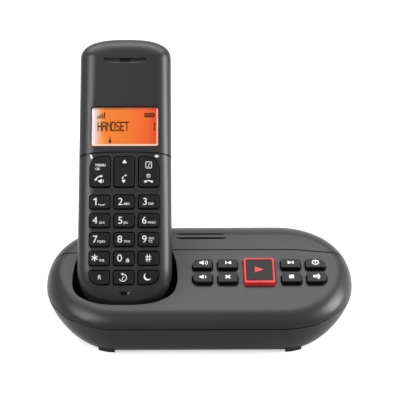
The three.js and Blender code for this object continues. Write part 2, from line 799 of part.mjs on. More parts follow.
function frontLower() {
  let solid = frontHalf.intersect(block(
    [-overrun, -overrun, -overrun], [overrun, frontSeamPlace - shellSeam / 2, overrun],
  ));
  for (const side of [-1, 1]) solid = solid.add(boardPost(side * lowPostAcross, lowPostPlace));
  for (const key of [...tallKeys, ...digitKeys]) solid = solid.subtract(keyAperture(key));
  const micSlot = roundPlate(micSlotWidth, micSlotHeight, micSlotHeight / 3, -overrun, overrun, 0, micPlace);
  return solid.subtract(micSlot);
}

function frontUpper() {
  let solid = frontHalf.intersect(block(
    [-overrun, frontSeamPlace + shellSeam / 2, -overrun], [overrun, handsetLength + overrun, overrun],
  ));
  for (const side of [-1, 1]) solid = solid.add(boardPost(side * highPostAcross, highPostPlace));
  const window = roundPlate(
    displayWidth - 2 * displayLedge, displayHeight - 2 * displayLedge, displayCorner,
    -overrun, overrun, 0, displayPlace,
  );
  const lensSeat = roundPlate(
    displayWidth + 2 * seatGap, displayHeight + 2 * seatGap, displayCorner + seatGap,
    -lensThickness - seatGap, overrun, 0, displayPlace,
  );
  const earSlot = roundPlate(earSlotWidth, earSlotHeight, earSlotHeight / 3, -overrun, overrun, 0, earPlace);
  return solid.subtract(window).subtract(lensSeat).subtract(earSlot);
}

// Battery bay: all of it follows the sloping back

const doorSeat = doorThickness + seatGap;
const bayDepth = doorSeat + 2 * (cellRadius + seatGap);
const bayHalfWidth = cellPitch / 2 + cellRadius + seatGap;
const bayHigh = bayLow + cellLength + 2 * terminalThickness + 4 * seatGap;

function backBlock(halfWidth, low, high, outer, inner) {
  return moved(block([-halfWidth, low, outer], [halfWidth, high, inner]), backFrame);
}

function rearHousing() {
  const shell = handsetShell.intersect(block(
    [-overrun, -overrun, -2 * overrun], [overrun, handsetLength + overrun, -frontDepth - shellSeam / 2],
  ));
  const seatHalfWidth = doorWidth / 2 + seatGap;
  const ledge = backBlock(
    seatHalfWidth + bayWall, 0, doorHigh + seatGap + bayWall, handsetWall / 2, doorSeat + bayWall,
  );
  const tray = backBlock(
    bayHalfWidth + bayWall, bayLow - bayWall, bayHigh + bayWall, doorSeat, bayDepth + bayWall,
  );
  const openingCorners = [0, 0, doorCorner, doorCorner].map((radius) => radius + seatGap);
  const doorOpening = moved(plate(
    2 * seatHalfWidth, overrun + doorHigh + seatGap, openingCorners,
    -overrun, doorSeat, 0, (doorHigh + seatGap - overrun) / 2,
  ), backFrame);
  let solid = shell.add(ledge.add(tray).intersect(slabSolid(handsetShape(handsetWall / 2))));
  solid = solid.subtract(doorOpening);
  solid = solid.subtract(backBlock(bayHalfWidth, bayLow, bayHigh, -overrun, bayDepth));
  const padHalfWidth = padWidth / 2 + seatGap;
  const padHalfDepth = padThickness / 2 + seatGap;
  for (const side of [-1, 1]) {
    solid = solid.subtract(block(
      [side * padAcross - padHalfWidth, -overrun, -padDepth - padHalfDepth],
      [side * padAcross + padHalfWidth, padPlace + padHeight + seatGap, -padDepth + padHalfDepth],
    ));
  }
  return solid;
}

function batteryDoor() {
  const body = moved(plate(
    doorWidth, doorHigh - doorLow, [doorCorner, doorCorner, doorCorner, doorCorner],
    -overrun, doorThickness, 0, (doorHigh + doorLow) / 2,
  ), backFrame);
  return body.intersect(handsetOuter);
}

// A cell lies along the bay; the two point opposite ways
function batteryCell(side) {
  const half = cellLength / 2;
  const profile = [
    [0, -half],
    [cellRadius, -half],
    [cellRadius, half - cellNubLength],
    [cellNubRadius, half - cellNubLength],
    [cellNubRadius, half],
    [0, half],
  ].map(([radius, height]) => new THREE.Vector2(radius, height));
  const geometry = new THREE.LatheGeometry(profile, roundSteps);
  if (side > 0) geometry.rotateX(Math.PI);
  geometry.translate(side * (cellPitch / 2), (bayLow + bayHigh) / 2, doorSeat + seatGap + cellRadius);
  return moved(solidOf(geometry), backFrame);
}

function terminal(halfWidth, across, atTop) {
  const low = atTop ? bayHigh - seatGap - terminalThickness : bayLow + seatGap;
  const middle = doorSeat + seatGap + cellRadius;
  return moved(block(
    [across - halfWidth, low, middle - terminalWidth / 2],
    [across + halfWidth, low + terminalThickness, middle + terminalWidth / 2],
  ), backFrame);
}

// Handset pieces in the handset's frame

const handset = new THREE.Group();
handset.applyMatrix4(handsetFrame);
base.add(handset);

handset.add(meshOf('handset_front_upper', frontUpper(), 'charcoalPlastic'));
handset.add(meshOf('handset_front_lower', frontLower(), 'charcoalPlastic'));
handset.add(meshOf('handset_rear_housing', rearHousing(), 'charcoalPlastic'));
handset.add(meshOf('battery_door', batteryDoor(), 'charcoalPlastic'));

for (const key of tallKeys) {
  const solid = keySolid(
    key, handsetWall, handsetKeyProud, handsetFlangeWidth, handsetFlangeThickness, rockerRoom,
  );
  handset.add(meshOf(key.name, solid, 'keyRubber'));
}
for (const key of digitKeys) {
  const solid = keySolid(
    key, handsetWall, handsetKeyProud, handsetFlangeWidth, handsetFlangeThickness, seatGap,
  );
  handset.add(meshOf(key.name, solid, 'keyRubber'));
}

handset.add(meshOf('display_lens', roundPlate(
  displayWidth, displayHeight, displayCorner, -lensThickness, 0, 0, displayPlace,
), 'clearPlastic'));
handset.add(meshOf('display_panel', roundPlate(
  panelModuleWidth, panelModuleHeight, displayCorner,
  boardTop + seatGap, -handsetWall - seatGap, 0, displayPlace,
), 'displayGlass'));
handset.add(meshOf('earpiece_receiver', bar(
  receiverRadius, 0, earPlace, -handsetWall - seatGap - receiverThickness, -handsetWall - seatGap,
), 'blackPlastic'));
handset.add(meshOf('microphone', bar(
  micRadius, 0, micPlace, -handsetWall - seatGap - micThickness, -handsetWall - seatGap,
), 'brightMetal'));

const matLow = lowRowPlace - digitHeight / 2 - handsetFlangeWidth;
const matHigh = tallKeyPlace + tallKeyHeight / 2 + handsetFlangeWidth;
handset.add(meshOf('handset_key_mat', roundPlate(
  handsetMatWidth, matHigh - matLow, handsetMatCorner,
  matTop - handsetMatThickness, matTop, 0, (matLow + matHigh) / 2,
), 'greyRubber'));
handset.add(meshOf('handset_circuit_board', roundPlate(
  handsetBoardWidth, handsetBoardHigh - handsetBoardLow, handsetBoardCorner,
  boardTop - handsetBoardThickness, boardTop, 0, (handsetBoardLow + handsetBoardHigh) / 2,
), 'greenBoard'));

for (const [name, side] of [['left', -1], ['right', 1]]) {
  handset.add(meshOf(`charge_pad_${name}`, block(
    [side * padAcross - padWidth / 2, padPlace, -padDepth - padThickness / 2],
    [side * padAcross + padWidth / 2, padPlace + padHeight, -padDepth + padThickness / 2],
  ), 'brightMetal'));
  handset.add(meshOf(`battery_cell_${name}`, batteryCell(side), 'cellSleeve'));
  handset.add(meshOf(
    `battery_terminal_${name}`, terminal(cellRadius - seatGap, side * (cellPitch / 2), true), 'brightMetal',
  ));
  const contactTop = padPlace - seatGap;
  handset.add(meshOf(`cradle_contact_${name}`, block(
    [side * padAcross - contactWidth / 2, contactTop - contactLength, -padDepth - contactThickness / 2],
    [side * padAcross + contactWidth / 2, contactTop, -padDepth + contactThickness / 2],
  ), 'brightMetal'));
}
handset.add(meshOf('battery_bridge', terminal(bayHalfWidth - 2 * seatGap, 0, false), 'brightMetal'));

// The origin is the middle of the footprint, on the table
const footprint = new THREE.Box3().setFromObject(machine, true);
machine.position.y = -(footprint.min.y + footprint.max.y) / 2;
machine.updateMatrixWorld(true);

export default machine;
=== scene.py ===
# Telephone answering machine: a cordless handset leaning in the well of its desk base.
# Keys, feet and sockets take their places and sizes from the frame's solids. Shells, key caps and
# printed legends are built here as fine surfaces in millimetres and written in metres.
import json
import math

import bmesh
import bpy
import numpy as np
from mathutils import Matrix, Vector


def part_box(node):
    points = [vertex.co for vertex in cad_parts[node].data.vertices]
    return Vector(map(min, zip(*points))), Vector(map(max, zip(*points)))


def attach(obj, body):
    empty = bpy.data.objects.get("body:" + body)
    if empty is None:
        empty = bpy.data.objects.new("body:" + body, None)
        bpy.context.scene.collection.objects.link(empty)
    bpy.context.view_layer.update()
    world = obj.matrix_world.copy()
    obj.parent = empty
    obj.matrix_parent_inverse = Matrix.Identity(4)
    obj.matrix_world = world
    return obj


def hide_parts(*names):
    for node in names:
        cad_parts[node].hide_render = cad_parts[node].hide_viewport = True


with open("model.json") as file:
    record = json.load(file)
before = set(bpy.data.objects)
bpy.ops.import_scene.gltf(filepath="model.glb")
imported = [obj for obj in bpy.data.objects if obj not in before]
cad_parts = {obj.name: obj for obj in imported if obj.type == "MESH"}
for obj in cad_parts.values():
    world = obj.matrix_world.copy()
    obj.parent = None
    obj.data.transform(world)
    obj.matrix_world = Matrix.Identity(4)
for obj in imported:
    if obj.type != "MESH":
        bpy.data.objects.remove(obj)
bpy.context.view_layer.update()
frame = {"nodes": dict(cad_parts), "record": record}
nodes = frame["nodes"]
bodies = frame["record"]["behaviour"]["bodies"]
bodyOf = {node: body for body, members in bodies.items() for node in members}
mm = 0.001
mergeWithin = 0.002  # points of a new mesh nearer than this, in millimetres, become one

# Places: 4x4 matrices in millimetres


# A turn about x in degrees, then a move
def turnX(degrees, move=(0, 0, 0)):
    c, s = math.cos(math.radians(degrees)), math.sin(math.radians(degrees))
    return np.array([[1, 0, 0, move[0]], [0, c, -s, move[1]], [0, s, c, move[2]], [0, 0, 0, 1]], float)


# A start is the angle in radians at which a rim's quarter turn takes over from the lip below it
base = dict(
    width=161.4, depth=87.4, endLength=38.4, underside=0.8, seam=16.2, panel=29.2, slope=9.7,
    frontRim=9, sideRim=10, rearRim=22, sideUndercut=11.3, endUndercut=4.4, undercutPower=1.5,
    wall=2.2, gap=0.4, lip=0.25, pastSeam=2, coverStart=0.06, housingStart=0.09,
    rearSeam=9.6, seamDepth=3.4, seamReach=80, seamSteps=24, endSteps=36, rimSteps=16,
)
handset = dict(
    across=-38.75, place=-30.4, sink=5, lean=40, lowWidth=49, topWidth=47.8, length=146.4,
    lowerEnd=24, upperEnd=11.5, lowerPower=2.2, upperPower=2.6, frontDepth=8, bodyDepth=11,
    shoulder=9, shoulderPower=2.0, endShoulder=11, endPower=1.8,
    lowThick=23, fullThick=27.5, topThick=22, backBend=75, topBend=112, backSide=9, backEnd=11,
    wall=1.8, lip=0.2, gap=0.4, pastSeam=2, faceStart=0.07,
    seam=83.3, seamSag=1.2, seamDepth=2.8, seamReach=30, seamSteps=12,
    endSteps=26, sideSteps=14, rimSteps=16,
)

housingLow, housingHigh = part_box("base_bottom_housing")
basePlace = turnX(0, (0, (housingLow.y + housingHigh.y) / 2 / mm, 0))
panelPlace = basePlace @ turnX(base["slope"], (0, 0, base["panel"]))
panelTilt = math.tan(math.radians(base["slope"]))
handsetTurn = 90 - handset["lean"]
handsetPlace = basePlace @ turnX(handsetTurn, (
    handset["across"],
    handset["place"] - handset["sink"] * math.cos(math.radians(handsetTurn)),
    base["panel"] + panelTilt * handset["place"] - handset["sink"] * math.sin(math.radians(handsetTurn)),
))
backSlope = (handset["fullThick"] - handset["lowThick"]) / handset["backBend"]
backPlace = handsetPlace @ turnX(-math.degrees(math.atan(backSlope)), (0, 0, -handset["lowThick"]))


# A mesh's points in millimetres, as seen in one of those places
def localPoints(mesh, place):
    points = np.empty(len(mesh.vertices) * 3, np.float32)
    mesh.vertices.foreach_get("co", points)
    points = np.c_[points.reshape(-1, 3) / mm, np.ones(len(points) // 3)]
    return (points @ np.linalg.inv(place).T)[:, :3]


# Lowest and highest corner of a frame node, as seen in a place
def localBox(node, place):
    local = localPoints(nodes[node].data, place)
    return local.min(0), local.max(0)


# Meshes from arrays


def addObject(name, data):
    added = bpy.data.objects.new(name, data)
    bpy.context.scene.collection.objects.link(added)
    return added


# Points in a place and faces that join them, as a piece whose faces point outwards
def newPiece(name, points, faces, place):
    placed = (np.c_[points, np.ones(len(points))] @ place.T)[:, :3] * mm
    mesh = bpy.data.meshes.new(name)
    mesh.from_pydata(placed.tolist(), [], faces)
    shape = bmesh.new()
    shape.from_mesh(mesh)
    bmesh.ops.remove_doubles(shape, verts=shape.verts, dist=mergeWithin * mm)
    bmesh.ops.recalc_face_normals(shape, faces=shape.faces)
    shape.to_mesh(mesh)
    shape.free()
    return addObject(name, mesh)


# Closed solid through a stack of rings, array of ring, point, xyz. A cap is one flat face, or for rings
# whose left half mirrors the right a ladder of strips, which can bend along the length.
def loft(name, rings, place, ladder=False):
    ringCount, count = rings.shape[:2]
    number = np.arange(ringCount * count).reshape(ringCount, count)
    following = np.roll(number, -1, axis=1)
    sides = np.stack([number[:-1], following[:-1], following[1:], number[1:]], axis=-1)
    faces = sides.reshape(-1, 4).tolist()
    if ladder:
        step = np.arange(1, count // 2 - 1)
        strips = np.stack([step, step + 1, count - step - 1, count - step], axis=-1)
        tips = np.array([[0, 1, count - 1], [count // 2 - 1, count // 2, count // 2 + 1]])
        for ring, turn in ((number[-1], 1), (number[0], -1)):
            faces += ring[strips][:, ::turn].tolist() + ring[tips][:, ::turn].tolist()
    else:
        faces += [number[-1].tolist(), number[0][::-1].tolist()]
    return newPiece(name, rings.reshape(-1, 3), faces, place)


# Several solids that don't touch, as one
def joined(name, pieces):
    shape = bmesh.new()
    for piece in pieces:
        shape.from_mesh(piece.data)
        bpy.data.objects.remove(piece)
    mesh = bpy.data.meshes.new(name)
    shape.to_mesh(mesh)
    shape.free()
    return addObject(name, mesh)


# A piece less another closed solid, or with another operation, which uses that solid up
def carve(piece, tool, operation="DIFFERENCE"):
    step = piece.modifiers.new("carve", "BOOLEAN")
    step.operation, step.solver, step.object = operation, "MANIFOLD", tool
    graph = bpy.context.evaluated_depsgraph_get()
    carved = bpy.data.meshes.new_from_object(piece.evaluated_get(graph))
    piece.modifiers.clear()
    piece.data = carved
    bpy.data.objects.remove(tool)
    return piece


def copyOf(piece, name):
    return addObject(name, piece.data.copy())


# Smooth shading up to an angle, with large faces ruling the normals so that flats stay flat
def polish(piece, sharpAngle=38):
    piece.data.shade_smooth()
    piece.data.set_sharp_from_angle(angle=math.radians(sharpAngle))
    normals = piece.modifiers.new("flats", "WEIGHTED_NORMAL")
    normals.keep_sharp = True
    return piece


# A piece's finish, the body it moves with and the frame nodes it stands for
def dress(piece, finish, body, replaced=()):
    piece.data.materials.clear()
    piece.data.materials.append(finish)
    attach(piece, body)
    if replaced:
        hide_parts(*replaced)
    return piece


# Outlines and profiles

turnSteps = dict(lip=4, edge=5, corner=8)
leastRadius = 0.03
# How far cutting solids reach: into a shell and out over its face, out over a seam, a recess and a
# recess's hole, through the handset's back, and past everything
overrun = dict(deep=9, high=8, seam=1, recess=4, hole=3.5, through=40, far=200)


# Quarter turn of a superellipse: how far the surface has come in and how far it has risen, 0 to 1
def quarterTurn(steps, power=2.0, start=0.0):
    angle = np.linspace(start, math.pi / 2, steps + 1)
    return 1 - np.clip(np.cos(angle), 0, 1) ** (2 / power), np.sin(angle) ** (2 / power)


# The right half of an outline and its mirror image, as one ring that starts at the near edge
def fullRing(half):
    return np.concatenate([half, half[-2:0:-1] * [-1, 1, 1]])


# Height of the panel's plane above the table: it rises evenly to the back
def panelRise(y):
    return base["panel"] + panelTilt * y


# Right half of the base's outline: a straight front and back with an elliptical end between them
def baseHalf(inward, side, front, rear):
    turn = np.linspace(-math.pi / 2, math.pi / 2, 2 * base["endSteps"] + 1)
    reach = base["depth"] / 2 - inward - np.where(turn < 0, front, rear)
    x = base["width"] / 2 - base["endLength"] + (base["endLength"] - inward - side) * np.cos(turn)
    y = reach * np.sin(turn)
    return np.r_[0, x, 0], np.r_[y[0], y, y[-1]]


# That outline and its mirror image at a height, which may change along them
def baseRing(inward, side, front, rear, height):
    x, y = baseHalf(inward, side, front, rear)
    return fullRing(np.stack([x, y, np.broadcast_to(height, x.shape)], axis=-1))


# Covers: from a rounded lip at the seam, in over the rim along a quarter turn, to the sloping panel. In
# front the turn rises to the panel's own slope, and behind to the height of the panel's rear edge.
def coverRings(inward, low, lip):
    panelEdge = baseHalf(inward, base["sideRim"], base["frontRim"], base["rearRim"])[1]
    rings = [
        baseRing(inward + lip * (1 - rise), 0, 0, 0, low + lip * come)
        for come, rise in zip(*quarterTurn(turnSteps["lip"] if lip else 1))
    ]
    for inset, rise in zip(*quarterTurn(base["rimSteps"], start=base["coverStart"])):
        insets = base["sideRim"] * inset, base["frontRim"] * inset, base["rearRim"] * inset
        crest = panelRise(np.minimum(baseHalf(inward, *insets)[1], panelEdge)) - inward
        rings.append(baseRing(inward, *insets, base["seam"] + (crest - base["seam"]) * rise))
    return np.array(rings)


# Bottom housing: from the flat underside out along a blunt quarter turn to a rounded lip at the seam
def housingRings(inward, high, lip):
    floor = base["underside"] + inward
    insets, drops = quarterTurn(base["rimSteps"], base["undercutPower"], base["housingStart"])
    rings = [
        baseRing(
            inward, base["sideUndercut"] * inset, base["endUndercut"] * inset, base["endUndercut"] * inset,
            base["seam"] - (base["seam"] - floor) * drop,
        )
        for inset, drop in zip(insets[::-1], drops[::-1])
    ]
    rings += [
        baseRing(inward + lip * come, 0, 0, 0, high - lip * (1 - rise))
        for come, rise in zip(*quarterTurn(turnSteps["lip"] if lip else 1))
    ]
    return np.array(rings)


# Thickness along the handset: it grows evenly, and past the upper bend it draws in as a parabola
def thicknessAt(y):
    low = handset["lowThick"] + backSlope * y
    share = np.clip((y - handset["topBend"]) / (handset["length"] - handset["topBend"]), 0, None)
    high = handset["fullThick"] - (handset["fullThick"] - handset["topThick"]) * share**2
    return np.minimum(low, high)


# Half the width along the handset, which changes evenly
def halfWidthAt(y):
    return (handset["lowWidth"] + (handset["topWidth"] - handset["lowWidth"]) * y / handset["length"]) / 2


# The handset's slab with its surface moved inward
def handsetShape(inward):
    return dict(
        halfWidth=lambda y: halfWidthAt(y) - inward, low=inward, high=handset["length"] - inward,
        lowerEnd=handset["lowerEnd"] - inward, upperEnd=handset["upperEnd"] - inward,
        face=-inward, faceDepth=handset["frontDepth"], faceSide=handset["shoulder"] - inward,
        faceEnd=handset["endShoulder"] - inward, facePower=handset["shoulderPower"],
        endPower=handset["endPower"], bodyDepth=handset["bodyDepth"],
        back=lambda y: thicknessAt(y) - inward, backSide=handset["backSide"] - inward,
        backEnd=handset["backEnd"],
    )


well = dict(sideGap=2.8, faceGap=1.2, endGap=2.8, backGap=2.5, endHeight=22, faceDepth=8, faceSide=12,
            faceEnd=6, backSide=6, top=60, liner=1.8, shellRoom=0.3)


# The well's space with its surface moved outward
def wellShape(outward):
    return dict(
        halfWidth=lambda y: handset["lowWidth"] / 2 + well["sideGap"] + outward + 0 * y,
        low=-well["endGap"] - outward, high=well["top"], lowerEnd=well["endHeight"] + outward, upperEnd=0,
        face=well["faceGap"] + outward, faceDepth=well["faceDepth"] - well["faceGap"],
        faceSide=well["faceSide"], faceEnd=well["faceEnd"], facePower=2, endPower=2,
        bodyDepth=handset["bodyDepth"] + well["faceGap"],
        back=lambda y: thicknessAt(y) + well["backGap"] + outward, backSide=well["backSide"],
        backEnd=handset["backEnd"],
    )


# A ring round a slab: superelliptical ends, straight tapering sides, all moved in by side and end
def slabRing(shape, side, end, heightAt):
    turn = np.linspace(0, math.pi / 2, handset["endSteps"] + 1)
    power = 2 / handset["lowerPower"]
    lowY = shape["low"] + end + (shape["lowerEnd"] - end) * (1 - np.clip(np.cos(turn), 0, 1) ** power)
    lowShare = np.sin(turn) ** power
    power = 2 / handset["upperPower"]
    topReach = max(shape["upperEnd"] - end, 0)
    highY = shape["high"] - min(end, shape["upperEnd"]) - topReach * (1 - np.sin(turn) ** power)
    highShare = np.clip(np.cos(turn), 0, 1) ** power
    sideY = np.linspace(lowY[-1], highY[0], handset["sideSteps"] + 2)[1:-1]
    y = np.r_[lowY, sideY, highY]
    x = (shape["halfWidth"](y) - side) * np.r_[lowShare, np.ones(len(sideY)), highShare]
    x[0] = x[-1] = 0
    return fullRing(np.stack([x, y, np.broadcast_to(heightAt(y), x.shape)], axis=-1))


# Rings of the slab's face half: its sides and its ends are quarter turns of two powers
def faceRings(shape, start=0.0):
    insets, rises = quarterTurn(handset["rimSteps"], shape["facePower"], start)
    endInsets = 1 - np.clip(1 - rises ** shape["endPower"], 0, 1) ** (1 / shape["endPower"])
    return [
        slabRing(shape, shape["faceSide"] * inset, shape["faceEnd"] * endInset,
                 lambda y, rise=rise: -shape["faceDepth"] + (shape["faceDepth"] + shape["face"]) * rise)
        for inset, endInset, rise in zip(insets, endInsets, rises)
    ]


# Rings of its back half: one quarter turn all round, from the back up to the upright sides
def backRings(shape):
    insets, drops = quarterTurn(handset["rimSteps"])
    return [
        slabRing(shape, shape["backSide"] * inset, shape["backEnd"] * inset,
                 lambda y, drop=drop: (drop - 1) * shape["bodyDepth"] - drop * shape["back"](y))
        for inset, drop in zip(insets[::-1], drops[::-1])
    ]


# Both halves as one closed solid
def wholeSlab(name, shape):
    return loft(name, np.array(backRings(shape) + faceRings(shape)), handsetPlace, ladder=True)


# Rounded rectangle, anticlockwise from the lower left corner, with its edge moved in by inset
def roundRectangle(width, height, corners, inset=0.0):
    turn = np.linspace(0, math.pi / 2, turnSteps["corner"] + 1)
    parts = []
    for quarter, corner in enumerate(corners):
        radius = max(corner - inset, leastRadius)
        signX, signY = (-1, 1, 1, -1)[quarter], (-1, -1, 1, 1)[quarter]
        angle = math.pi + quarter * math.pi / 2 + turn
        parts.append(np.stack([
            signX * (width / 2 - inset - radius) + radius * np.cos(angle),
            signY * (height / 2 - inset - radius) + radius * np.sin(angle),
        ], axis=-1))
    return np.concatenate(parts)


# A flat outline as a ring at one height
def atLevel(outline, level):
    return np.c_[outline, np.full(len(outline), level)]


# Plate whose edge follows a profile of inset and height pairs
def plate(name, width, height, corners, profile, place, centre=(0, 0)):
    rings = [
        atLevel(roundRectangle(width, height, corners, inset) + centre, level) for inset, level in profile
    ]
    return loft(name, np.array(rings), place)


# Profile of a rounded upper edge: a quarter turn in to the top
def roundedEdge(fillet, top, steps=turnSteps["edge"]):
    return [(fillet * come, top - fillet * (1 - rise)) for come, rise in zip(*quarterTurn(steps))]


# Profile of a cutting plate whose mouth widens with a radius, so that it leaves a rounded edge
def flaredMouth(radius):
    widen, rise = quarterTurn(turnSteps["lip"])
    curve = [(-radius * w, -radius * (1 - r)) for w, r in zip(widen, rise)]
    return [(0, -overrun["deep"]), *curve, (-radius, overrun["high"])]


# Box between two corners
def block(name, low, high, place):
    square = np.array([[low[0], low[1]], [high[0], low[1]], [high[0], high[1]], [low[0], high[1]]], float)
    return loft(name, np.array([atLevel(square, level) for level in (low[2], high[2])]), place)


# Thin cutting wall along a surface line: its section, in along the normal and to both sides of the
# plane, is narrow inside the shell and flares at the surface
def seamWall(name, line, halfWidth, flare, depth, planeY, place):
    tangent = np.gradient(line, axis=0)
    tangent /= np.linalg.norm(tangent, axis=1)[:, None]
    normal = np.stack([-tangent[:, 1], tangent[:, 0]], axis=-1)
    widen, rise = quarterTurn(turnSteps["lip"])
    levels = np.r_[-depth, -flare * (1 - rise), overrun["seam"]]
    widths = halfWidth + np.r_[0, flare * widen, flare]
    section = np.concatenate([np.stack([levels, widths], -1), np.stack([levels, -widths], -1)[::-1]])
    across = line[:, None, :] + normal[:, None, :] * section[None, :, :1]
    planeYs = np.broadcast_to(np.reshape(planeY, (-1, 1)) + section[:, 1], across.shape[:2])
    rings = np.stack([across[..., 0], planeYs, across[..., 1]], axis=-1)
    return loft(name, rings, place)


# Materials

# A hex code's colour in linear values, along the sRGB curve
def colourOf(code):
    value = np.array([int(code[k:k + 2], 16) / 255 for k in (1, 3, 5)])
    linear = np.where(value <= 0.04045, value / 12.92, ((value + 0.055) / 1.055) ** 2.4)
    return (*linear.tolist(), 1.0)


# Adds a node. A setting goes to the input of that name or number, or else to the node's own property.
def addNode(tree, kind, settings=None, links=None):
    node = tree.nodes.new(kind)
    for name, value in (settings or {}).items():
        if isinstance(name, int) or name in node.inputs:
            node.inputs[name].default_value = value
        else:
            setattr(node, name, value)
    for name, source in (links or {}).items():
        tree.links.new(source, node.inputs[name])
    return node


def newMaterial(name):
    material = bpy.data.materials.new(name)
    material.use_nodes = True
    tree = material.node_tree
    tree.nodes.clear()
    return material, tree


# Moulded plastic: the mould's spark-eroded grain shows as a fine bump and a slight change of gloss.
# The real grain is about 0.1 mm, drawn coarser so that it shows. A painted glow makes a tinted piece
# shine brighter than the lamps light it, though no lamp is in it.
def mouldedPlastic(name, colour, roughness, grain, bump, specular=0.5, mottle=0.06, paintedGlow=0.0):
    material, tree = newMaterial(name)
    place = addNode(tree, "ShaderNodeTexCoord")
    fine = addNode(tree, "ShaderNodeTexNoise", {"Scale": 1 / (grain * mm), "Detail": 3.0, "Roughness": 0.6},
                   {"Vector": place.outputs["Object"]})
    broad = addNode(tree, "ShaderNodeTexNoise", {"Scale": 1 / (18 * mm), "Detail": 2.0},
                    {"Vector": place.outputs["Object"]})
    shade = addNode(tree, "ShaderNodeMapRange", {"To Min": 1 - mottle, "To Max": 1 + mottle},
                    {"Value": broad.outputs["Fac"]})
    tint = addNode(tree, "ShaderNodeVectorMath", {"operation": "SCALE", 0: colourOf(colour)[:3]},
                   {"Scale": shade.outputs["Result"]})
    gloss = addNode(tree, "ShaderNodeMapRange", {"To Min": roughness - 0.05, "To Max": roughness + 0.05},
                    {"Value": fine.outputs["Fac"]})
    relief = addNode(tree, "ShaderNodeBump", {"Strength": bump, "Distance": 0.05 * mm},
                     {"Height": fine.outputs["Fac"]})
    surface = addNode(tree, "ShaderNodeBsdfPrincipled",
                      {"IOR": 1.53, "Specular IOR Level": specular, "Emission Color": colourOf(colour),
                       "Emission Strength": paintedGlow},
                      {"Base Color": tint.outputs["Vector"], "Roughness": gloss.outputs["Result"],
                       "Normal": relief.outputs["Normal"]})
    addNode(tree, "ShaderNodeOutputMaterial", None, {"Surface": surface.outputs["BSDF"]})
    return material


# Nickel-plated contact metal, drawn with the faint lines of rolled strip about 0.3 mm apart
def platedMetal(name, colour, roughness):
    material, tree = newMaterial(name)
    place = addNode(tree, "ShaderNodeTexCoord")
    stretched = addNode(tree, "ShaderNodeMapping", {"Scale": (1 / (0.3 * mm), 1 / (6 * mm), 1 / (6 * mm))},
                        {"Vector": place.outputs["Object"]})
    lines = addNode(tree, "ShaderNodeTexNoise", {"Scale": 1.0, "Detail": 2.0},
                    {"Vector": stretched.outputs["Vector"]})
    gloss = addNode(tree, "ShaderNodeMapRange", {"To Min": roughness - 0.08, "To Max": roughness + 0.1},
                    {"Value": lines.outputs["Fac"]})
    surface = addNode(tree, "ShaderNodeBsdfPrincipled", {"Base Color": colourOf(colour), "Metallic": 1.0},
                      {"Roughness": gloss.outputs["Result"]})
    addNode(tree, "ShaderNodeOutputMaterial", None, {"Surface": surface.outputs["BSDF"]})
    return material


# Clear polycarbonate window, polished and coated against glare. Its IOR is far below the plastic's own
# and stands for the coating, so that the room shows in it only faintly.
def clearWindow(name):
    material, tree = newMaterial(name)
    place = addNode(tree, "ShaderNodeTexCoord")
    haze = addNode(tree, "ShaderNodeTexNoise", {"Scale": 1 / (8 * mm)}, {"Vector": place.outputs["Object"]})
    gloss = addNode(tree, "ShaderNodeMapRange", {"To Min": 0.02, "To Max": 0.06},
                    {"Value": haze.outputs["Fac"]})
    surface = addNode(tree, "ShaderNodeBsdfPrincipled",
                      {"Base Color": (1, 1, 1, 1), "IOR": 1.15, "Transmission Weight": 1.0},
                      {"Roughness": gloss.outputs["Result"]})
    addNode(tree, "ShaderNodeOutputMaterial", None, {"Surface": surface.outputs["BSDF"]})
    return material


# Backlit display: the orange pales to white at the left edge and reddens to the right. Pale lines along
# the right and the bottom are a painted highlight of the glass's cut edge, and a painted shade darkens
# the top, standing for the shadow of the window's upper edge.
def backlitDisplay(name):
    material, tree = newMaterial(name)
    place = addNode(tree, "ShaderNodeUVMap", {"uv_map": "face"})
    split = addNode(tree, "ShaderNodeSeparateXYZ", None, {"Vector": place.outputs["UV"]})
    across = addNode(tree, "ShaderNodeValToRGB", None, {"Fac": split.outputs["X"]})
    # Stops across the glass; the last one is a painted highlight along its right edge
    stops = [(0.0, "#fafafa"), (0.035, "#e6dcdc"), (0.08, "#e8b8a4"), (0.13, "#f29a50"), (0.2, "#f07c14"),
             (0.6, "#ee6e06"), (0.85, "#eb5a0a"), (0.96, "#de3c10"), (0.983, "#de3c10"), (0.99, "#f6ccb0")]
    ramp = across.color_ramp
    ramp.elements[0].color = colourOf(stops[0][1])
    ramp.elements[1].position, ramp.elements[1].color = stops[-1][0], colourOf(stops[-1][1])
    for position, code in stops[1:-1]:
        ramp.elements.new(position).color = colourOf(code)
    # Painted highlight: a pale line along the bottom edge of the glass
    edge = addNode(tree, "ShaderNodeMapRange",
                   {"From Min": 0.018, "From Max": 0.03, "To Min": 1.0, "To Max": 0.0},
                   {"Value": split.outputs["Y"]})
    lit = addNode(tree, "ShaderNodeMix", {"data_type": "RGBA", 7: colourOf("#fbd3b6")},
                  {0: edge.outputs["Result"], 6: across.outputs["Color"]})
    # Painted shade: the top darkens towards deep red, for the shadow of the window's upper edge
    top = addNode(tree, "ShaderNodeMapRange",
                  {"From Min": 0.93, "From Max": 1.0, "To Min": 0.0, "To Max": 0.6},
                  {"Value": split.outputs["Y"]})
    paintedTopShade = addNode(tree, "ShaderNodeMix", {"data_type": "RGBA", 7: colourOf("#6a1a14")},
                     {0: top.outputs["Result"], 6: lit.outputs[2]})
    surface = addNode(tree, "ShaderNodeBsdfPrincipled",
                      {"Roughness": 0.4, "Emission Strength": 1.0, "Specular IOR Level": 0.1,
                       "Base Color": (0.02, 0.015, 0.01, 1)},
                      {"Emission Color": paintedTopShade.outputs[2]})
    addNode(tree, "ShaderNodeOutputMaterial", None, {"Surface": surface.outputs["BSDF"]})
    return material
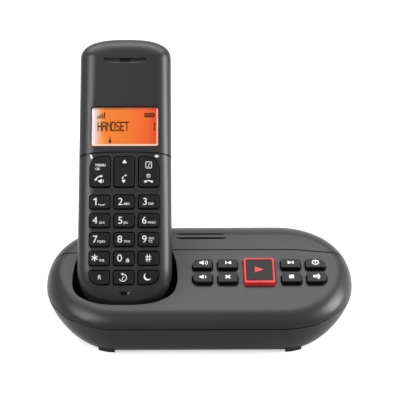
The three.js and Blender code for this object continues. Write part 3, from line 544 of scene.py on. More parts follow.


# Each moulded finish: colour, roughness, grain in millimetres, bump, specular, mottle and painted glow
finishes = dict(
    housing=mouldedPlastic("moulded ABS, charcoal", "#1f1f20", 0.35, 0.45, 0.25, 0.2),
    inner=mouldedPlastic("moulded ABS, black", "#101011", 0.6, 0.5, 0.2, 0.15),
    keys=mouldedPlastic("moulded key cap ABS, black", "#131314", 0.4, 0.4, 0.12, 0.11),
    # The red ring has a painted glow that makes it brighter than the lamps light it
    redRing=mouldedPlastic("tinted polycarbonate, red", "#a82428", 0.4, 0.6, 0.05, 0.2, 0.03, 0.55),
    playPlate=mouldedPlastic("moulded ABS, smoke", "#1b1716", 0.45, 0.5, 0.08, 0.1, 0.03),
    redInk=mouldedPlastic("printed ink, red", "#b82a27", 0.5, 0.5, 0.03, 0.3, 0.02),
    whiteInk=mouldedPlastic("printed ink, white", "#e4e4e2", 0.55, 0.5, 0.03, 0.3, 0.02),
    displayInk=mouldedPlastic("display segments, dark brown", "#1a0803", 0.5, 0.5, 0.0, 0.05, 0.02),
    silicone=mouldedPlastic("silicone rubber, black", "#151515", 0.7, 0.8, 0.2, 0.2),
    board=mouldedPlastic("solder mask on glass fibre board", "#1f5a36", 0.4, 1.2, 0.1, 0.5),
    rubber=mouldedPlastic("moulded rubber, black", "#1d1d1d", 0.8, 0.6, 0.3, 0.3),
    sleeve=mouldedPlastic("printed PVC sleeve, green", "#2f7d4a", 0.35, 2.0, 0.03, 0.5),
    metal=platedMetal("nickel-plated steel strip", "#c4c6c9", 0.28),
    window=clearWindow("clear polycarbonate"),
    display=backlitDisplay("edge-lit display glass"),
)
print("materials ready")

# Base shells


# Both covers in one: the outer surface less the same surface a wall further in
def hollowCover():
    outer = coverRings(0, base["seam"] + base["gap"] / 2, base["lip"])
    inner = coverRings(base["wall"], base["seam"] - base["pastSeam"], 0)
    shell = loft("cover", outer, basePlace, ladder=True)
    return carve(shell, loft("hollow", inner, basePlace, ladder=True))


baseKeyNames = ["volume_up_key", "previous_key", "next_key", "answer_on_off_key",
                "volume_down_key", "delete_key", "stop_key", "find_handset_key"]
baseKeyShape = dict(lip=0.6, lipHeight=1.0, trim=0.12, corner=1.1, endCorner=3.4, room=0.35, mouth=0.3,
                    fillet=0.45)
upperKeyShape = dict(baseKeyShape, endCorner=4.3)
playKeyShape = dict(lip=0.6, lipHeight=1.0, trim=0.2, corner=1.3, room=0.35, mouth=0.3, fillet=0.3,
                    rim=1.0, frontRim=1.6, seat=0.3, seatCorner=0.8, seatFlare=0.15,
                    plateDepth=1, plateCorner=0.7, plateRoom=0.12, plateFillet=0.2, plateSteps=4)
# The one corner of an end key that is rounded large, counted from the lower left
roundCorners = {"volume_up_key": 3, "volume_down_key": 0, "answer_on_off_key": 2, "find_handset_key": 1}


# The upper row's end keys are rounded more
def baseShapeOf(node):
    return upperKeyShape if node in baseKeyNames[:4] else baseKeyShape


# Four equal corners, but for the one that the table names for an end key
def cornersOf(node, shape, table):
    corners = [shape["corner"]] * 4
    if node in table:
        corners[table[node]] = shape["endCorner"]
    return corners


# Width, height, middle, foot and top of a key cap, from its solid less the lip that holds it in
def capOf(node, place, shape):
    low, high = localBox(node, place)
    less = 2 * (shape["lip"] + shape["trim"])
    return high[0] - low[0] - less, high[1] - low[1] - less, (low + high)[:2] / 2, low[2], high[2]


# Cutting solid for a key's opening: the cap's outline with room round it and a flared mouth
def keyMouth(node, place, shape, corners):
    width, height, middle, _, _ = capOf(node, place, shape)
    room = shape["room"]
    return plate("mouth", width + 2 * room, height + 2 * room, [c + room for c in corners],
                 flaredMouth(shape["mouth"]), place, middle)


speakerSlots = dict(length=28, across=0.65, width=1.1, spacing=3.6, middle=21, mouth=0.3, slope=2.6,
                    slopeDepth=0.9)


# The rear seam in plan: straight in the middle, leaning forward towards its two ends as a smooth step
seamBend = dict(start=46, end=71, forward=2.4)


# The seam's place along y for each x
def rearSeamAt(x):
    share = np.clip((np.abs(x) - seamBend["start"]) / (seamBend["end"] - seamBend["start"]), 0, 1)
    return base["rearSeam"] - seamBend["forward"] * share**2 * (3 - 2 * share)


# A line from the side to the middle and its mirror image: x and z, and the seam's y at each x
def mirroredLine(x, z, seamAt):
    x, z = np.r_[x, -x[-2::-1]], np.r_[z, z[-2::-1]]
    return np.stack([x, z], -1), seamAt(x)


# The line on the covers along which the rear seam cuts them. Three rounds settle the turn at which the
# outline of each ring meets the seam.
def rearSeamLine():
    inset, rise = quarterTurn(base["rimSteps"])
    halfWidth, reach = base["width"] / 2, base["endLength"] - base["sideRim"] * inset
    x = np.full(inset.shape, halfWidth)
    for _ in range(3):
        turn = np.arcsin(rearSeamAt(x) / (base["depth"] / 2 - base["rearRim"] * inset))
        x = halfWidth - base["endLength"] + reach * np.cos(turn)
    crest = panelRise((base["depth"] / 2 - base["rearRim"]) * np.sin(turn))
    z = base["seam"] + (crest - base["seam"]) * rise
    flatX = np.linspace(x[-1], 0, base["seamSteps"])[1:]
    z = np.r_[base["seam"] - base["pastSeam"], z, panelRise(rearSeamAt(flatX))]
    return mirroredLine(np.r_[x[0], x, flatX], z, rearSeamAt)


# Everything behind a seam, or with side -1 everything in front of it
def seamHalf(side, seamAt, reach, place):
    far = overrun["far"]
    x = np.linspace(-reach, reach, 81)
    y = seamAt(x)
    x[0], x[-1] = -far, far
    outline = np.concatenate([np.stack([x, y], -1), [[far, side * far], [-far, side * far]]])[::side]
    return loft("half", np.array([atLevel(outline, z) for z in (-far, far)]), place)


cover = hollowCover()
tools = [keyMouth(node, panelPlace, baseKeyShape, cornersOf(node, baseShapeOf(node), roundCorners))
         for node in baseKeyNames]
tools.append(keyMouth("play_key", panelPlace, playKeyShape, [playKeyShape["corner"]] * 4))


# Long slot whose two ends slope up to the surface: they come in by a share of the slope, in proportion
# to the depth
def slopedSlot(middle):
    deep, mouth, rings = speakerSlots["slopeDepth"], speakerSlots["mouth"], []
    flare = [(widen, level, -level / deep) for widen, level in flaredMouth(mouth)[1:-1]]
    for widen, level, ends in [(0, -overrun["deep"], 1), (0, -deep, 1), *flare, (-mouth, overrun["high"], 0)]:
        outline = roundRectangle(speakerSlots["length"] - 2 * max(ends, 0) * speakerSlots["slope"],
                                 speakerSlots["width"] - 2 * widen, [speakerSlots["width"] / 2] * 4)
        rings.append(atLevel(outline + [speakerSlots["across"], middle], level))
    return loft("slot", np.array(rings), panelPlace)


tools += [slopedSlot(speakerSlots["middle"] + side * speakerSlots["spacing"]) for side in (-0.5, 0.5)]
seamLine, seamY = rearSeamLine()
tools.append(seamWall("seam", seamLine, base["gap"] / 2, base["lip"], base["seamDepth"], seamY, basePlace))
carve(cover, joined("tools", tools))
carve(cover, wholeSlab("well", wellShape(0)))

rearCover = copyOf(cover, "rear_cover_shell")
carve(rearCover, seamHalf(1, rearSeamAt, base["seamReach"], basePlace), "INTERSECT")
carve(cover, seamHalf(-1, rearSeamAt, base["seamReach"], basePlace), "INTERSECT")
cover.name = "top_cover_shell"
dress(polish(cover), finishes["housing"], "base", ["base_top_cover"])
dress(polish(rearCover), finishes["housing"], "base", ["base_rear_cover"])
print("covers ready")

foot = dict(width=8.5, length=8.6, shift=(0.3, -1.0), corner=0.7, beyond=1.35, room=0.15, seat=1.9,
            fillet=0.4)
footNames = ["foot_front_left", "foot_rear_left", "foot_front_right", "foot_rear_right"]
jackHole = dict(room=0.3, start=6, past=9)  # it starts inside the socket and ends behind the rear wall


# Foot pad: a rounded rectangle cut off by a line that runs just beyond the underside's edge. Both follow
# one profile of inset and height pairs.
def footPad(name, node, profile):
    low, high = localBox(node, basePlace)
    middle = (low + high)[:2] / 2
    middle -= np.sign(middle) * foot["shift"]
    pad = plate(name, foot["width"], foot["length"], [foot["corner"]] * 4, profile, basePlace, middle)
    inside = [baseRing(inset - foot["beyond"], base["sideUndercut"], base["endUndercut"],
                       base["endUndercut"], level) for inset, level in profile]
    return carve(pad, loft("inside", np.array(inside), basePlace, ladder=True), "INTERSECT")


housing = loft("bottom_housing_shell", housingRings(0, base["seam"] - base["gap"] / 2, base["lip"]),
               basePlace, ladder=True)
inner = housingRings(base["wall"], base["seam"] + base["pastSeam"], 0)
carve(housing, loft("hollow", inner, basePlace, ladder=True))
tools = []
footTop = base["underside"] + foot["seat"]
footEdge = [(inset, -level) for inset, level in roundedEdge(foot["fillet"], 0)[::-1]]
for node in footNames:
    tools.append(footPad("seat", node, [(-foot["room"], -overrun["deep"]), (-foot["room"], footTop)]))
    rubber = footPad(node.replace("foot", "rubber_foot"), node, [*footEdge, (0, footTop - foot["room"])])
    dress(polish(rubber), finishes["rubber"], "base", [node])
for node in ("line_jack", "power_jack"):
    low, high = localBox(node, basePlace)
    tools.append(block("hole", low - [jackHole["room"], -jackHole["start"], jackHole["room"]],
                       high + [jackHole["room"], jackHole["past"], jackHole["room"]], basePlace))
carve(housing, joined("tools", tools))
dress(polish(housing), finishes["housing"], "base", ["base_bottom_housing"])
print("bottom housing ready")

contact = dict(width=2.6, thick=1, slotGap=0.4, across=6, depth=13,
               ribAcross=13, ribWidth=1.6, ribLength=6, ribTop=12, ribRoom=0.3)


# The whole base as one solid, with its surface moved inward
def baseSolid(inward):
    lower = housingRings(inward, base["seam"], 0)
    upper = coverRings(inward, base["seam"], 0)
    return loft("solid", np.concatenate([lower[:-1], upper[1:]]), basePlace, ladder=True)


# Liner of the well with its two rest ribs and the slots of the two contacts, kept inside the base
def wellLiner():
    liner = carve(wholeSlab("well_liner", wellShape(well["liner"])), wholeSlab("space", wellShape(0)))
    ribX, ribZ = contact["ribWidth"] / 2, contact["ribLength"] / 2
    slotX, slotZ = contact["width"] / 2 + contact["slotGap"], contact["thick"] / 2 + contact["slotGap"]
    for side in (-1, 1):
        middle = side * contact["ribAcross"]
        rib = block("rib", [middle - ribX, -overrun["through"], -contact["depth"] - ribZ],
                    [middle + ribX, contact["ribTop"], -contact["depth"] + ribZ], handsetPlace)
        carve(rib, wholeSlab("keep", wellShape(well["liner"] / 2)), "INTERSECT")
        carve(rib, wholeSlab("room", handsetShape(-contact["ribRoom"])))
        carve(liner, rib, "UNION")
        middle = side * contact["across"]
        carve(liner, block("slot", [middle - slotX, -overrun["through"], -contact["depth"] - slotZ],
                           [middle + slotX, 0, -contact["depth"] + slotZ], handsetPlace))
    return carve(liner, baseSolid(base["wall"] + well["shellRoom"]), "INTERSECT")


dress(polish(wellLiner()), finishes["inner"], "base", ["cradle_well"])
print("well ready")

# Handset shells

digitNames = [f"key_{n}" for n in (1, 2, 3, 4, 5, 6, 7, 8, 9)] + ["key_star", "key_0", "key_hash"]
lowNames = ["recall_key", "redial_key", "mute_key"]
tallNames = ["menu_call_rocker", "up_down_rocker", "phonebook_end_rocker"]
handsetKeyShape = dict(lip=0.45, lipHeight=0.8, trim=0.43, corner=0.9, endCorner=5, room=0.65, mouth=0.15,
                       fillet=0.3)
tallKeyShape = dict(handsetKeyShape, endCorner=5.8)
bigCorners = {"menu_call_rocker": 3, "phonebook_end_rocker": 2, "recall_key": 0, "mute_key": 1}
window = dict(width=34.9, height=20.8, corner=1, middle=97.3, room=0.3, lens=1.1, ledge=0.25,
              seatFlare=0.2, edge=0.12, edgeSteps=3)
glassPlate = dict(room=0.15, corner=0.6, root=0.5, drop=0.1)
earSlot = dict(width=22.6, height=2.9, middle=132.7, corner=0.7, deep=1.5, shallow=0.05, ends=0.5,
               hole=5.6, holeHeight=2.1, holeDrop=0.1)
micSlot = dict(width=6.2, height=2.0, middle=9.6, corner=0.8, deep=1.1, shallow=0.2, ends=0.9,
               hole=3.3, holeHeight=1.85, holeDrop=0.1)


# Shallow recess with a through hole. The floor falls towards the upper edge, as a straight line, and
# shoals towards the two ends, as a parabola.
def scoop(slot):
    outline = roundRectangle(slot["width"], slot["height"], [slot["corner"]] * 4)
    rings = [atLevel(outline, overrun["recess"])]
    for share in (1, 0.8, 0.6, 0.4, 0.2, 0.02):
        x, y = outline.T * share
        fall = slot["deep"] * (1 - slot["ends"] * (2 * x / slot["width"]) ** 2) - slot["shallow"]
        rings.append(np.stack([x, y, -slot["shallow"] - fall * (y / slot["height"] + 0.5)], -1))
    recess = loft("recess", np.array(rings[::-1]) + [0, slot["middle"], 0], handsetPlace)
    middle = slot["middle"] + (slot["height"] - slot["holeHeight"]) / 2 - slot["holeDrop"]
    hole = plate("hole", slot["hole"], slot["holeHeight"], [slot["holeHeight"] / 3] * 4,
                 [(0, -overrun["deep"]), (0, overrun["hole"])], handsetPlace, (0, middle))
    return carve(recess, hole, "UNION")


# The seam across the front is arched: it sags towards the sides as a parabola
def frontSeamAt(x):
    return handset["seam"] - handset["seamSag"] * (x / halfWidthAt(handset["seam"])) ** 2


# The line on the front shell along which that seam cuts it: a quarter turn up to the flat face
def frontSeamLine():
    inset, rise = quarterTurn(handset["rimSteps"], handset["shoulderPower"])
    x = halfWidthAt(handset["seam"]) - handset["shoulder"] * inset
    z = -handset["frontDepth"] + handset["frontDepth"] * rise
    flatX = np.linspace(x[-1], 0, handset["seamSteps"])[1:]
    z = np.r_[-handset["frontDepth"] - handset["pastSeam"], z, np.zeros(len(flatX))]
    return mirroredLine(np.r_[x[0], x, flatX], z, frontSeamAt)


# Front shell: a rounded lip at the side seam, then in over the edge to the flat face
def frontShell():
    low, lip = -handset["frontDepth"] + handset["gap"] / 2, handset["lip"]
    rings = [
        slabRing(handsetShape(lip * (1 - rise)), 0, 0, lambda y, come=come: low + lip * come)
        for come, rise in zip(*quarterTurn(turnSteps["lip"]))
    ] + faceRings(handsetShape(0), handset["faceStart"])
    shell = loft("front", np.array(rings), handsetPlace, ladder=True)
    inner = handsetShape(handset["wall"])
    under = slabRing(inner, 0, 0, lambda y: -handset["frontDepth"] - handset["pastSeam"])
    return carve(shell, loft("hollow", np.array([under] + faceRings(inner)), handsetPlace, ladder=True))


# Rear shell: the same lip the other way, then down and in to the sloping back
def rearShell():
    high, lip = -handset["frontDepth"] - handset["gap"] / 2, handset["lip"]
    rings = backRings(handsetShape(0)) + [
        slabRing(handsetShape(lip * come), 0, 0, lambda y, rise=rise: high - lip * (1 - rise))
        for come, rise in zip(*quarterTurn(turnSteps["lip"]))
    ]
    shell = loft("rear_shell", np.array(rings), handsetPlace, ladder=True)
    inner = handsetShape(handset["wall"])
    over = slabRing(inner, 0, 0, lambda y: -handset["frontDepth"] + handset["pastSeam"])
    return carve(shell, loft("hollow", np.array(backRings(inner) + [over]), handsetPlace, ladder=True))


front = frontShell()
tools = [keyMouth(node, handsetPlace, handsetKeyShape, cornersOf(node, handsetKeyShape, bigCorners))
         for node in digitNames + lowNames]
tools += [keyMouth(node, handsetPlace, tallKeyShape, cornersOf(node, tallKeyShape, bigCorners))
          for node in tallNames]
seamLine, seamY = frontSeamLine()
tools.append(seamWall("seam", seamLine, handset["gap"] / 2, handset["lip"], handset["seamDepth"], seamY,
                      handsetPlace))
tools += [scoop(earSlot), scoop(micSlot)]
room = window["room"]
ledge, floorLevel = room + window["ledge"], -window["lens"] - room
tools.append(plate(
    "lens_seat", window["width"] + 2 * room, window["height"] + 2 * room, [window["corner"] + room] * 4,
    [(ledge, -overrun["deep"]), (ledge, floorLevel), (0, floorLevel),
     *flaredMouth(window["seatFlare"])[1:]], handsetPlace, (0, window["middle"]),
))
carve(front, joined("tools", tools))
upper = copyOf(front, "display_surround")
carve(upper, seamHalf(1, frontSeamAt, handset["seamReach"], handsetPlace), "INTERSECT")
carve(front, seamHalf(-1, frontSeamAt, handset["seamReach"], handsetPlace), "INTERSECT")
front.name = "key_surround"
dress(polish(front), finishes["housing"], "handset", ["handset_front_lower"])
dress(polish(upper), finishes["housing"], "handset", ["handset_front_upper"])

door = dict(width=30, low=8.5, high=73.5, corner=2.5, thick=2, room=0.3, openEnd=100)
grip = dict(width=15, height=0.95, depth=0.45, slope=0.35, count=5, pitch=2.1, below=9, flat=0.02)
bay = dict(wall=1.2, cell=5.25, pitch=11.1, low=23, length=44.5, terminal=0.5, gap=0.3)
pad = dict(width=4, height=1.6, thick=2.6, across=6, up=1, room=0.3)


# Rear shell with the walls round the battery bay, less the door's seat, the bay and the pads' holes
def rearHousing():
    shell = rearShell()
    seatHalf, seat = door["width"] / 2 + door["room"], door["thick"] + door["room"]
    bayHalf = bay["pitch"] / 2 + bay["cell"] + bay["gap"]
    bayHigh = bay["low"] + bay["length"] + 2 * bay["terminal"] + 4 * bay["gap"]
    bayDeep = seat + 2 * (bay["cell"] + bay["gap"])
    doorTop = door["high"] + door["room"]
    inside = block("ledge", [-seatHalf - bay["wall"], 0, handset["wall"] / 2],
                   [seatHalf + bay["wall"], doorTop + bay["wall"], seat + bay["wall"]], backPlace)
    trayLow = [-bayHalf - bay["wall"], bay["low"] - bay["wall"], seat]
    trayHigh = [bayHalf + bay["wall"], bayHigh + bay["wall"], bayDeep + bay["wall"]]
    carve(inside, block("tray", trayLow, trayHigh, backPlace), "UNION")
    carve(inside, wholeSlab("keep", handsetShape(handset["wall"] / 2)), "INTERSECT")
    carve(shell, inside, "UNION")
    corners = [door["room"]] * 2 + [door["corner"] + door["room"]] * 2
    carve(shell, plate("door_seat", 2 * seatHalf, door["openEnd"] + doorTop, corners,
                       [(0, -overrun["through"]), (0, seat)], backPlace,
                       (0, (doorTop - door["openEnd"]) / 2)))
    carve(shell, block("bay", [-bayHalf, bay["low"], -overrun["through"]], [bayHalf, bayHigh, bayDeep],
                       backPlace))
    halfX, halfZ = pad["width"] / 2 + pad["room"], pad["thick"] / 2 + pad["room"]
    holeTop = pad["up"] + pad["height"] + pad["room"]
    for side in (-1, 1):
        middle = side * pad["across"]
        carve(shell, block("pad_hole", [middle - halfX, -overrun["through"], -contact["depth"] - halfZ],
                           [middle + halfX, holeTop, -contact["depth"] + halfZ], handsetPlace))
    return shell


dress(polish(rearHousing()), finishes["housing"], "handset", ["handset_rear_housing"])

batteryDoor = carve(
    wholeSlab("battery_door_panel", handsetShape(0)),
    plate("outline", door["width"], door["high"] - door["low"], [door["corner"]] * 4,
          [(0, -overrun["through"]), (0, door["thick"])], backPlace, (0, (door["high"] + door["low"]) / 2)),
    "INTERSECT",
)
# Thumb grip near the door's upper end: short grooves that narrow with depth
grooves = [plate("groove", grip["width"], grip["height"], [grip["height"] / 2 - grip["flat"]] * 4,
                 [(0, -overrun["through"]), (0, 0), (grip["slope"], grip["depth"])], backPlace,
                 (0, door["high"] - grip["below"] - grip["pitch"] * k)) for k in range(grip["count"])]
carve(batteryDoor, joined("grooves", grooves))
dress(polish(batteryDoor), finishes["housing"], "battery_door", ["battery_door"])
print("handset shells ready")

# Display

lensPiece = plate(
    "display_window", window["width"], window["height"], [window["corner"]] * 4,
    [(0, -window["lens"]), *roundedEdge(window["edge"], 0, window["edgeSteps"])],
    handsetPlace, (0, window["middle"]),
)
dress(polish(lensPiece), finishes["window"], "handset", ["display_lens"])


# Display module: the glass stands up into the window from the wider module behind it. Its face map
# runs from 0 to 1 across and up the glass.
def displayGlass():
    low, high = localBox("display_panel", handsetPlace)
    inset = window["ledge"] + glassPlate["room"]
    width, height = window["width"] - 2 * inset, window["height"] - 2 * inset
    body = plate("display_glass", *(high - low)[:2], [window["corner"]] * 4,
                 [(0, low[2]), (0, high[2])], handsetPlace, (0, window["middle"]))
    glass = plate("glass", width, height, [glassPlate["corner"]] * 4,
                  [(0, high[2] - glassPlate["root"]), (0, -window["lens"] - glassPlate["drop"])],
                  handsetPlace, (0, window["middle"]))
    carve(body, glass, "UNION")
    local = localPoints(body.data, handsetPlace)
    u = local[:, 0] / width + 0.5
    v = (local[:, 1] - window["middle"]) / height + 0.5
    corner = np.empty(len(body.data.loops), np.int32)
    body.data.loops.foreach_get("vertex_index", corner)
    layer = body.data.uv_layers.new(name="face")
    layer.data.foreach_set("uv", np.stack([u, v], -1)[corner].astype(np.float32).ravel())
    return body


dress(polish(displayGlass()), finishes["display"], "handset", ["display_panel"])
print("display ready")

# Keys


# Key cap: a lip at its foot, upright sides, a rounded upper edge and a flat top
def keyCap(node, place, shape, corners):
    width, height, middle, low, top = capOf(node, place, shape)
    lip, lipTop = -shape["lip"], low + shape["lipHeight"]
    profile = [(lip, low), (lip, lipTop), (0, lipTop), *roundedEdge(shape["fillet"], top)]
    return plate(node + "_cap", width, height, corners, profile, place, middle)


for node in baseKeyNames:
    cap = keyCap(node, panelPlace, baseKeyShape, cornersOf(node, baseShapeOf(node), roundCorners))
    dress(polish(cap), finishes["keys"], bodyOf[node], [node])
for node in digitNames + lowNames + tallNames:
    shape = tallKeyShape if node in tallNames else handsetKeyShape
    cap = keyCap(node, handsetPlace, shape, cornersOf(node, shape, bigCorners))
    dress(polish(cap), finishes["keys"], bodyOf[node], [node])

# The play key: a ring with a seat, and the plate in it, whose front strip of ring is wider than the rest
playWidth, playHeight, playMiddle, _, playTop = capOf("play_key", panelPlace, playKeyShape)
playRing = keyCap("play_key", panelPlace, playKeyShape, [playKeyShape["corner"]] * 4)
rim, frontRim = playKeyShape["rim"], playKeyShape["frontRim"]
plateWidth, plateHeight = playWidth - 2 * rim, playHeight - rim - frontRim
plateMiddle = playMiddle + [0, (frontRim - rim) / 2]
plateLow, flare = playTop - playKeyShape["plateDepth"], playKeyShape["seatFlare"]
seatProfile = [(0, plateLow - playKeyShape["seat"]), (0, playTop - flare), (-flare, playTop),
               (-flare, playTop + overrun["high"])]
carve(playRing, plate("seat", plateWidth, plateHeight, [playKeyShape["seatCorner"]] * 4, seatProfile,
                      panelPlace, plateMiddle))
dress(polish(playRing), finishes["redRing"], "play_key", ["play_key"])
plateRoom = playKeyShape["plateRoom"]
plateEdge = roundedEdge(playKeyShape["plateFillet"], playTop, playKeyShape["plateSteps"])
playPlate = plate("play_plate", plateWidth - 2 * plateRoom, plateHeight - 2 * plateRoom,
                  [playKeyShape["plateCorner"]] * 4, [(0, plateLow), *plateEdge], panelPlace, plateMiddle)
dress(polish(playPlate), finishes["playPlate"], "play_key", ["play_key_plate"])
print("keys ready")

# Printed legends: outlines in millimetres about the middle of their key

inkRise = dict(low=-0.02, high=0.03)  # the ink reaches from just under the surface to just over it


# A straight bar between two points
def strip(x0, y0, x1, y1, thick):
    along = np.array([x1 - x0, y1 - y0], float)
    side = np.array([-along[1], along[0]]) / np.linalg.norm(along) * thick / 2
    start, end = np.array([x0, y0]), np.array([x1, y1])
    return np.array([start - side, end - side, end + side, start + side])


# A circle as points at even angles
def disc(x, y, radius, steps=28):
    turn = np.linspace(0, 2 * math.pi, steps, endpoint=False)
    return np.stack([x + radius * np.cos(turn), y + radius * np.sin(turn)], -1)


# Bent bar along a circle, between two angles in degrees
def bow(x, y, radius, thick, start, end, steps=20):
    turn = np.radians(np.linspace(start, end, steps + 1))
    edge = [np.stack([x + r * np.cos(turn), y + r * np.sin(turn)], -1)
            for r in (radius + thick / 2, radius - thick / 2)]
    return np.concatenate([edge[0], edge[1][::-1]])


# A ring made of two bows
def ringMark(x, y, radius, thick):
    return [bow(x, y, radius, thick, 0, 180), bow(x, y, radius, thick, 180, 360)]


# Outlines turned and scaled about their origin, then moved
def moved(outlines, x, y, size=1.0, turn=0.0):
    c, s = math.cos(math.radians(turn)), math.sin(math.radians(turn))
    return [outline @ np.array([[c, s], [-s, c]]) * size + [x, y] for outline in outlines]


# A loudspeaker's horn, with its sound waves as bows
def speakerMark(waves):
    horn = np.array([[-2.0, -0.6], [-1.2, -0.6], [-0.1, -1.5], [-0.1, 1.5], [-1.2, 0.6], [-2.0, 0.6]])
    return [horn] + [bow(-0.5, 0, 1.45 + 0.85 * k, 0.32, -42, 42) for k in range(waves)]


# Telephone receiver: a bow with a swelling at each end
def receiverMark(thick=0.5):
    end = np.array([[-0.5, -0.6], [0.5, -0.6], [0.5, 0.35], [-0.5, 0.35]])
    ends = [moved([end], s * 1.75, -0.25, 1, -18 * s)[0] for s in (-1, 1)]
    return [bow(0, -5.0, 5.1, thick, 68, 112), *ends]


# Two bars that cross at right angles
def crossMark(size, thick):
    return [strip(-size, -size, size, size, thick), strip(-size, size, size, -size, thick)]


# Three bars through one middle, 60 degrees apart
def starMark(size, thick):
    return [strip(-size * math.cos(a), -size * math.sin(a), size * math.cos(a), size * math.sin(a), thick)
            for a in np.radians([90, 30, 150])]


# Two bars across two upright ones
def hashMark(width, height, thick):
    across = [strip(-width, y, width, y, thick) for y in (-height * 0.36, height * 0.36)]
    upright = [strip(x - 0.12, -height, x + 0.12, height, thick) for x in (-width * 0.42, width * 0.42)]
    return across + upright


# Crescent: a disc less a smaller one that lies off to the upper right, at a distance from its middle
def moonMark(radius, inner=0.92, away=0.36):
    outerHalf = math.degrees(math.acos((1 + away**2 - inner**2) / (2 * away)))
    innerHalf = math.degrees(math.acos((inner**2 + away**2 - 1) / (2 * inner * away)))
    outerTurn = np.radians(np.linspace(45 + outerHalf, 405 - outerHalf, 30))
    innerTurn = np.radians(np.linspace(225 + innerHalf, 225 - innerHalf, 24))
    shift = away * math.sqrt(0.5)
    outside = np.stack([np.cos(outerTurn), np.sin(outerTurn)], -1)
    inside = np.stack([shift + inner * np.cos(innerTurn), shift + inner * np.sin(innerTurn)], -1)
    return [np.concatenate([outside, inside]) * radius]


# A bow that ends in an arrow head, round a small receiver
def redialMark():
    head = np.array([[0.1, 2.6], [0.1, 1.1], [-1.1, 1.85]])
    return [bow(0, 0, 1.85, 0.38, -160, 90, 40), head, *moved(receiverMark(0.8), 0, -0.1, 0.42, 62)]


# Padlock: an outlined body under a shackle
def lockMark():
    body = [strip(-0.95, y, 0.95, y, 0.3) for y in (-0.9, -0.35, 0.2)]
    return [*body, *[strip(x, -0.75, x, 0.05, 0.3) for x in (-0.8, 0.8)], bow(0, 0.36, 0.6, 0.25, 0, 180)]


# Phone book: a frame with cut corners round a small receiver
def bookMark():
    frameLine = [strip(-1.2, s * 1.65, 1.2, s * 1.65, 0.3) for s in (-1, 1)]
    frameLine += [strip(s * 1.5, -1.4, s * 1.5, 1.4, 0.3) for s in (-1, 1)]
    frameLine += [strip(s * 1.5, t * 1.4, s * 1.2, t * 1.65, 0.28) for s in (-1, 1) for t in (-1, 1)]
    return frameLine + moved(receiverMark(), 0.1, 0, 0.5, 72)


# A triangle that points up before it is turned
def triangle(size, turn):
    return moved([np.array([[-0.58, -0.5], [0.58, -0.5], [0, 0.5]]) * size], 0, 0, 1, turn)


# A triangle that points at a bar
def skipMark(direction):
    return moved(triangle(2.2, -90 * direction), -0.3 * direction, 0) + [
        strip(1.3 * direction, -1.1, 1.3 * direction, 1.1, 0.55)]


capHeight = 0.729  # of Blender's own font at size 1


# Words as outlines of that font, scaled to a cap height, with the baseline's start at x, y
def words(text, height, x, y, stretch=1.0, weight=0.0):
    curve = bpy.data.curves.new("words", "FONT")
    curve.body, curve.resolution_u, curve.offset, curve.extrude = text, 5, weight, 0.01
    holder = addObject("words", curve)
    graph = bpy.context.evaluated_depsgraph_get()
    mesh = bpy.data.meshes.new_from_object(holder.evaluated_get(graph))
    bpy.data.objects.remove(holder)
    points = np.empty(len(mesh.vertices) * 3, np.float32)
    mesh.vertices.foreach_get("co", points)
    points = points.reshape(-1, 3)
    scale = height / capHeight
    points[:, 0] = points[:, 0] * scale * stretch + x
    points[:, 1] = points[:, 1] * scale + y
    points[:, 2] = np.where(points[:, 2] > 0, inkRise["high"], inkRise["low"])
    faces = [list(face.vertices) for face in mesh.polygons]
    bpy.data.meshes.remove(mesh)
    return points, faces


# One print on a flat top: marks and words together, a thin layer of ink at a height above the place
def printed(name, place, middle, top, outlines, texts=(), finish="whiteInk", body="handset"):
    points, faces, count = [], [], 0
    for outline in outlines:
        size = len(outline)
        points += [atLevel(outline, inkRise["low"]), atLevel(outline, inkRise["high"])]
        ring = np.arange(size)
        after = np.roll(ring, -1)
        sides = np.stack([ring, after, after + size, ring + size], -1) + count
        faces += sides.tolist() + [(ring + size + count).tolist(), (ring[::-1] + count).tolist()]
        count += 2 * size
    for textPoints, textFaces in texts:
        points.append(textPoints)
        faces += [[v + count for v in face] for face in textFaces]
        count += len(textPoints)
    placed = np.concatenate(points) + [middle[0], middle[1], top]
    return dress(newPiece(name, placed, faces, place), finishes[finish], body)


# For each number key: its digit with its left edge, its letters with theirs, and its drawn marks
oneMark = [strip(-1.95, -1.65, -1.95, 2.2, 0.56), strip(-3.3, 1.15, -1.8, 1.97, 0.45)]
digitMarks = {
    "key_1": ("", 0, "", 0, oneMark + [bow(0.95, 1.45, 3.1, 0.3, 236, 304)]),
    "key_2": ("2", -3.35, "ABC", -0.3, []), "key_3": ("3", -3.25, "DEF", -0.3, []),
    "key_4": ("4", -3.75, "GHI", -0.35, []), "key_5": ("5", -3.35, "JKL", -0.3, []),
    "key_6": ("6", -3.65, "MNO", -0.4, []), "key_7": ("7", -3.7, "PQRS", -1.15, []),
    "key_8": ("8", -3.55, "TUV", -0.1, []), "key_9": ("9", -3.55, "WX|YZ", -0.1, []),
    "key_star": ("", 0, "int", 0.1, moved(starMark(1.8, 0.44), -2.3, 0.3)),
    "key_0": ("0", -3.55, "", 0, moved(lockMark(), 1.9, -1.0, 0.85)),
    "key_hash": ("", 0, "", 0, moved(hashMark(1.5, 1.9, 0.38), -0.15, 0.15)),
}
legend = dict(digit=3.9, letter=1.25, small=1.75, base=-1.6, row=1.6, stretch=1.04, weight=-0.007)

for node, (digit, left, letters, lettersLeft, marks) in digitMarks.items():
    _, _, middle, _, top = capOf(node, handsetPlace, handsetKeyShape)
    height = legend["small" if letters.islower() else "letter"]
    texts = [words(line, height, lettersLeft, legend["base"] + legend["row"] * row)
             for row, line in enumerate(letters.split("|")[::-1]) if line]
    if digit:
        texts.append(words(digit, legend["digit"], left, legend["base"], legend["stretch"], legend["weight"]))
    printed(node + "_print", handsetPlace, middle, top, marks, texts, body=bodyOf[node])

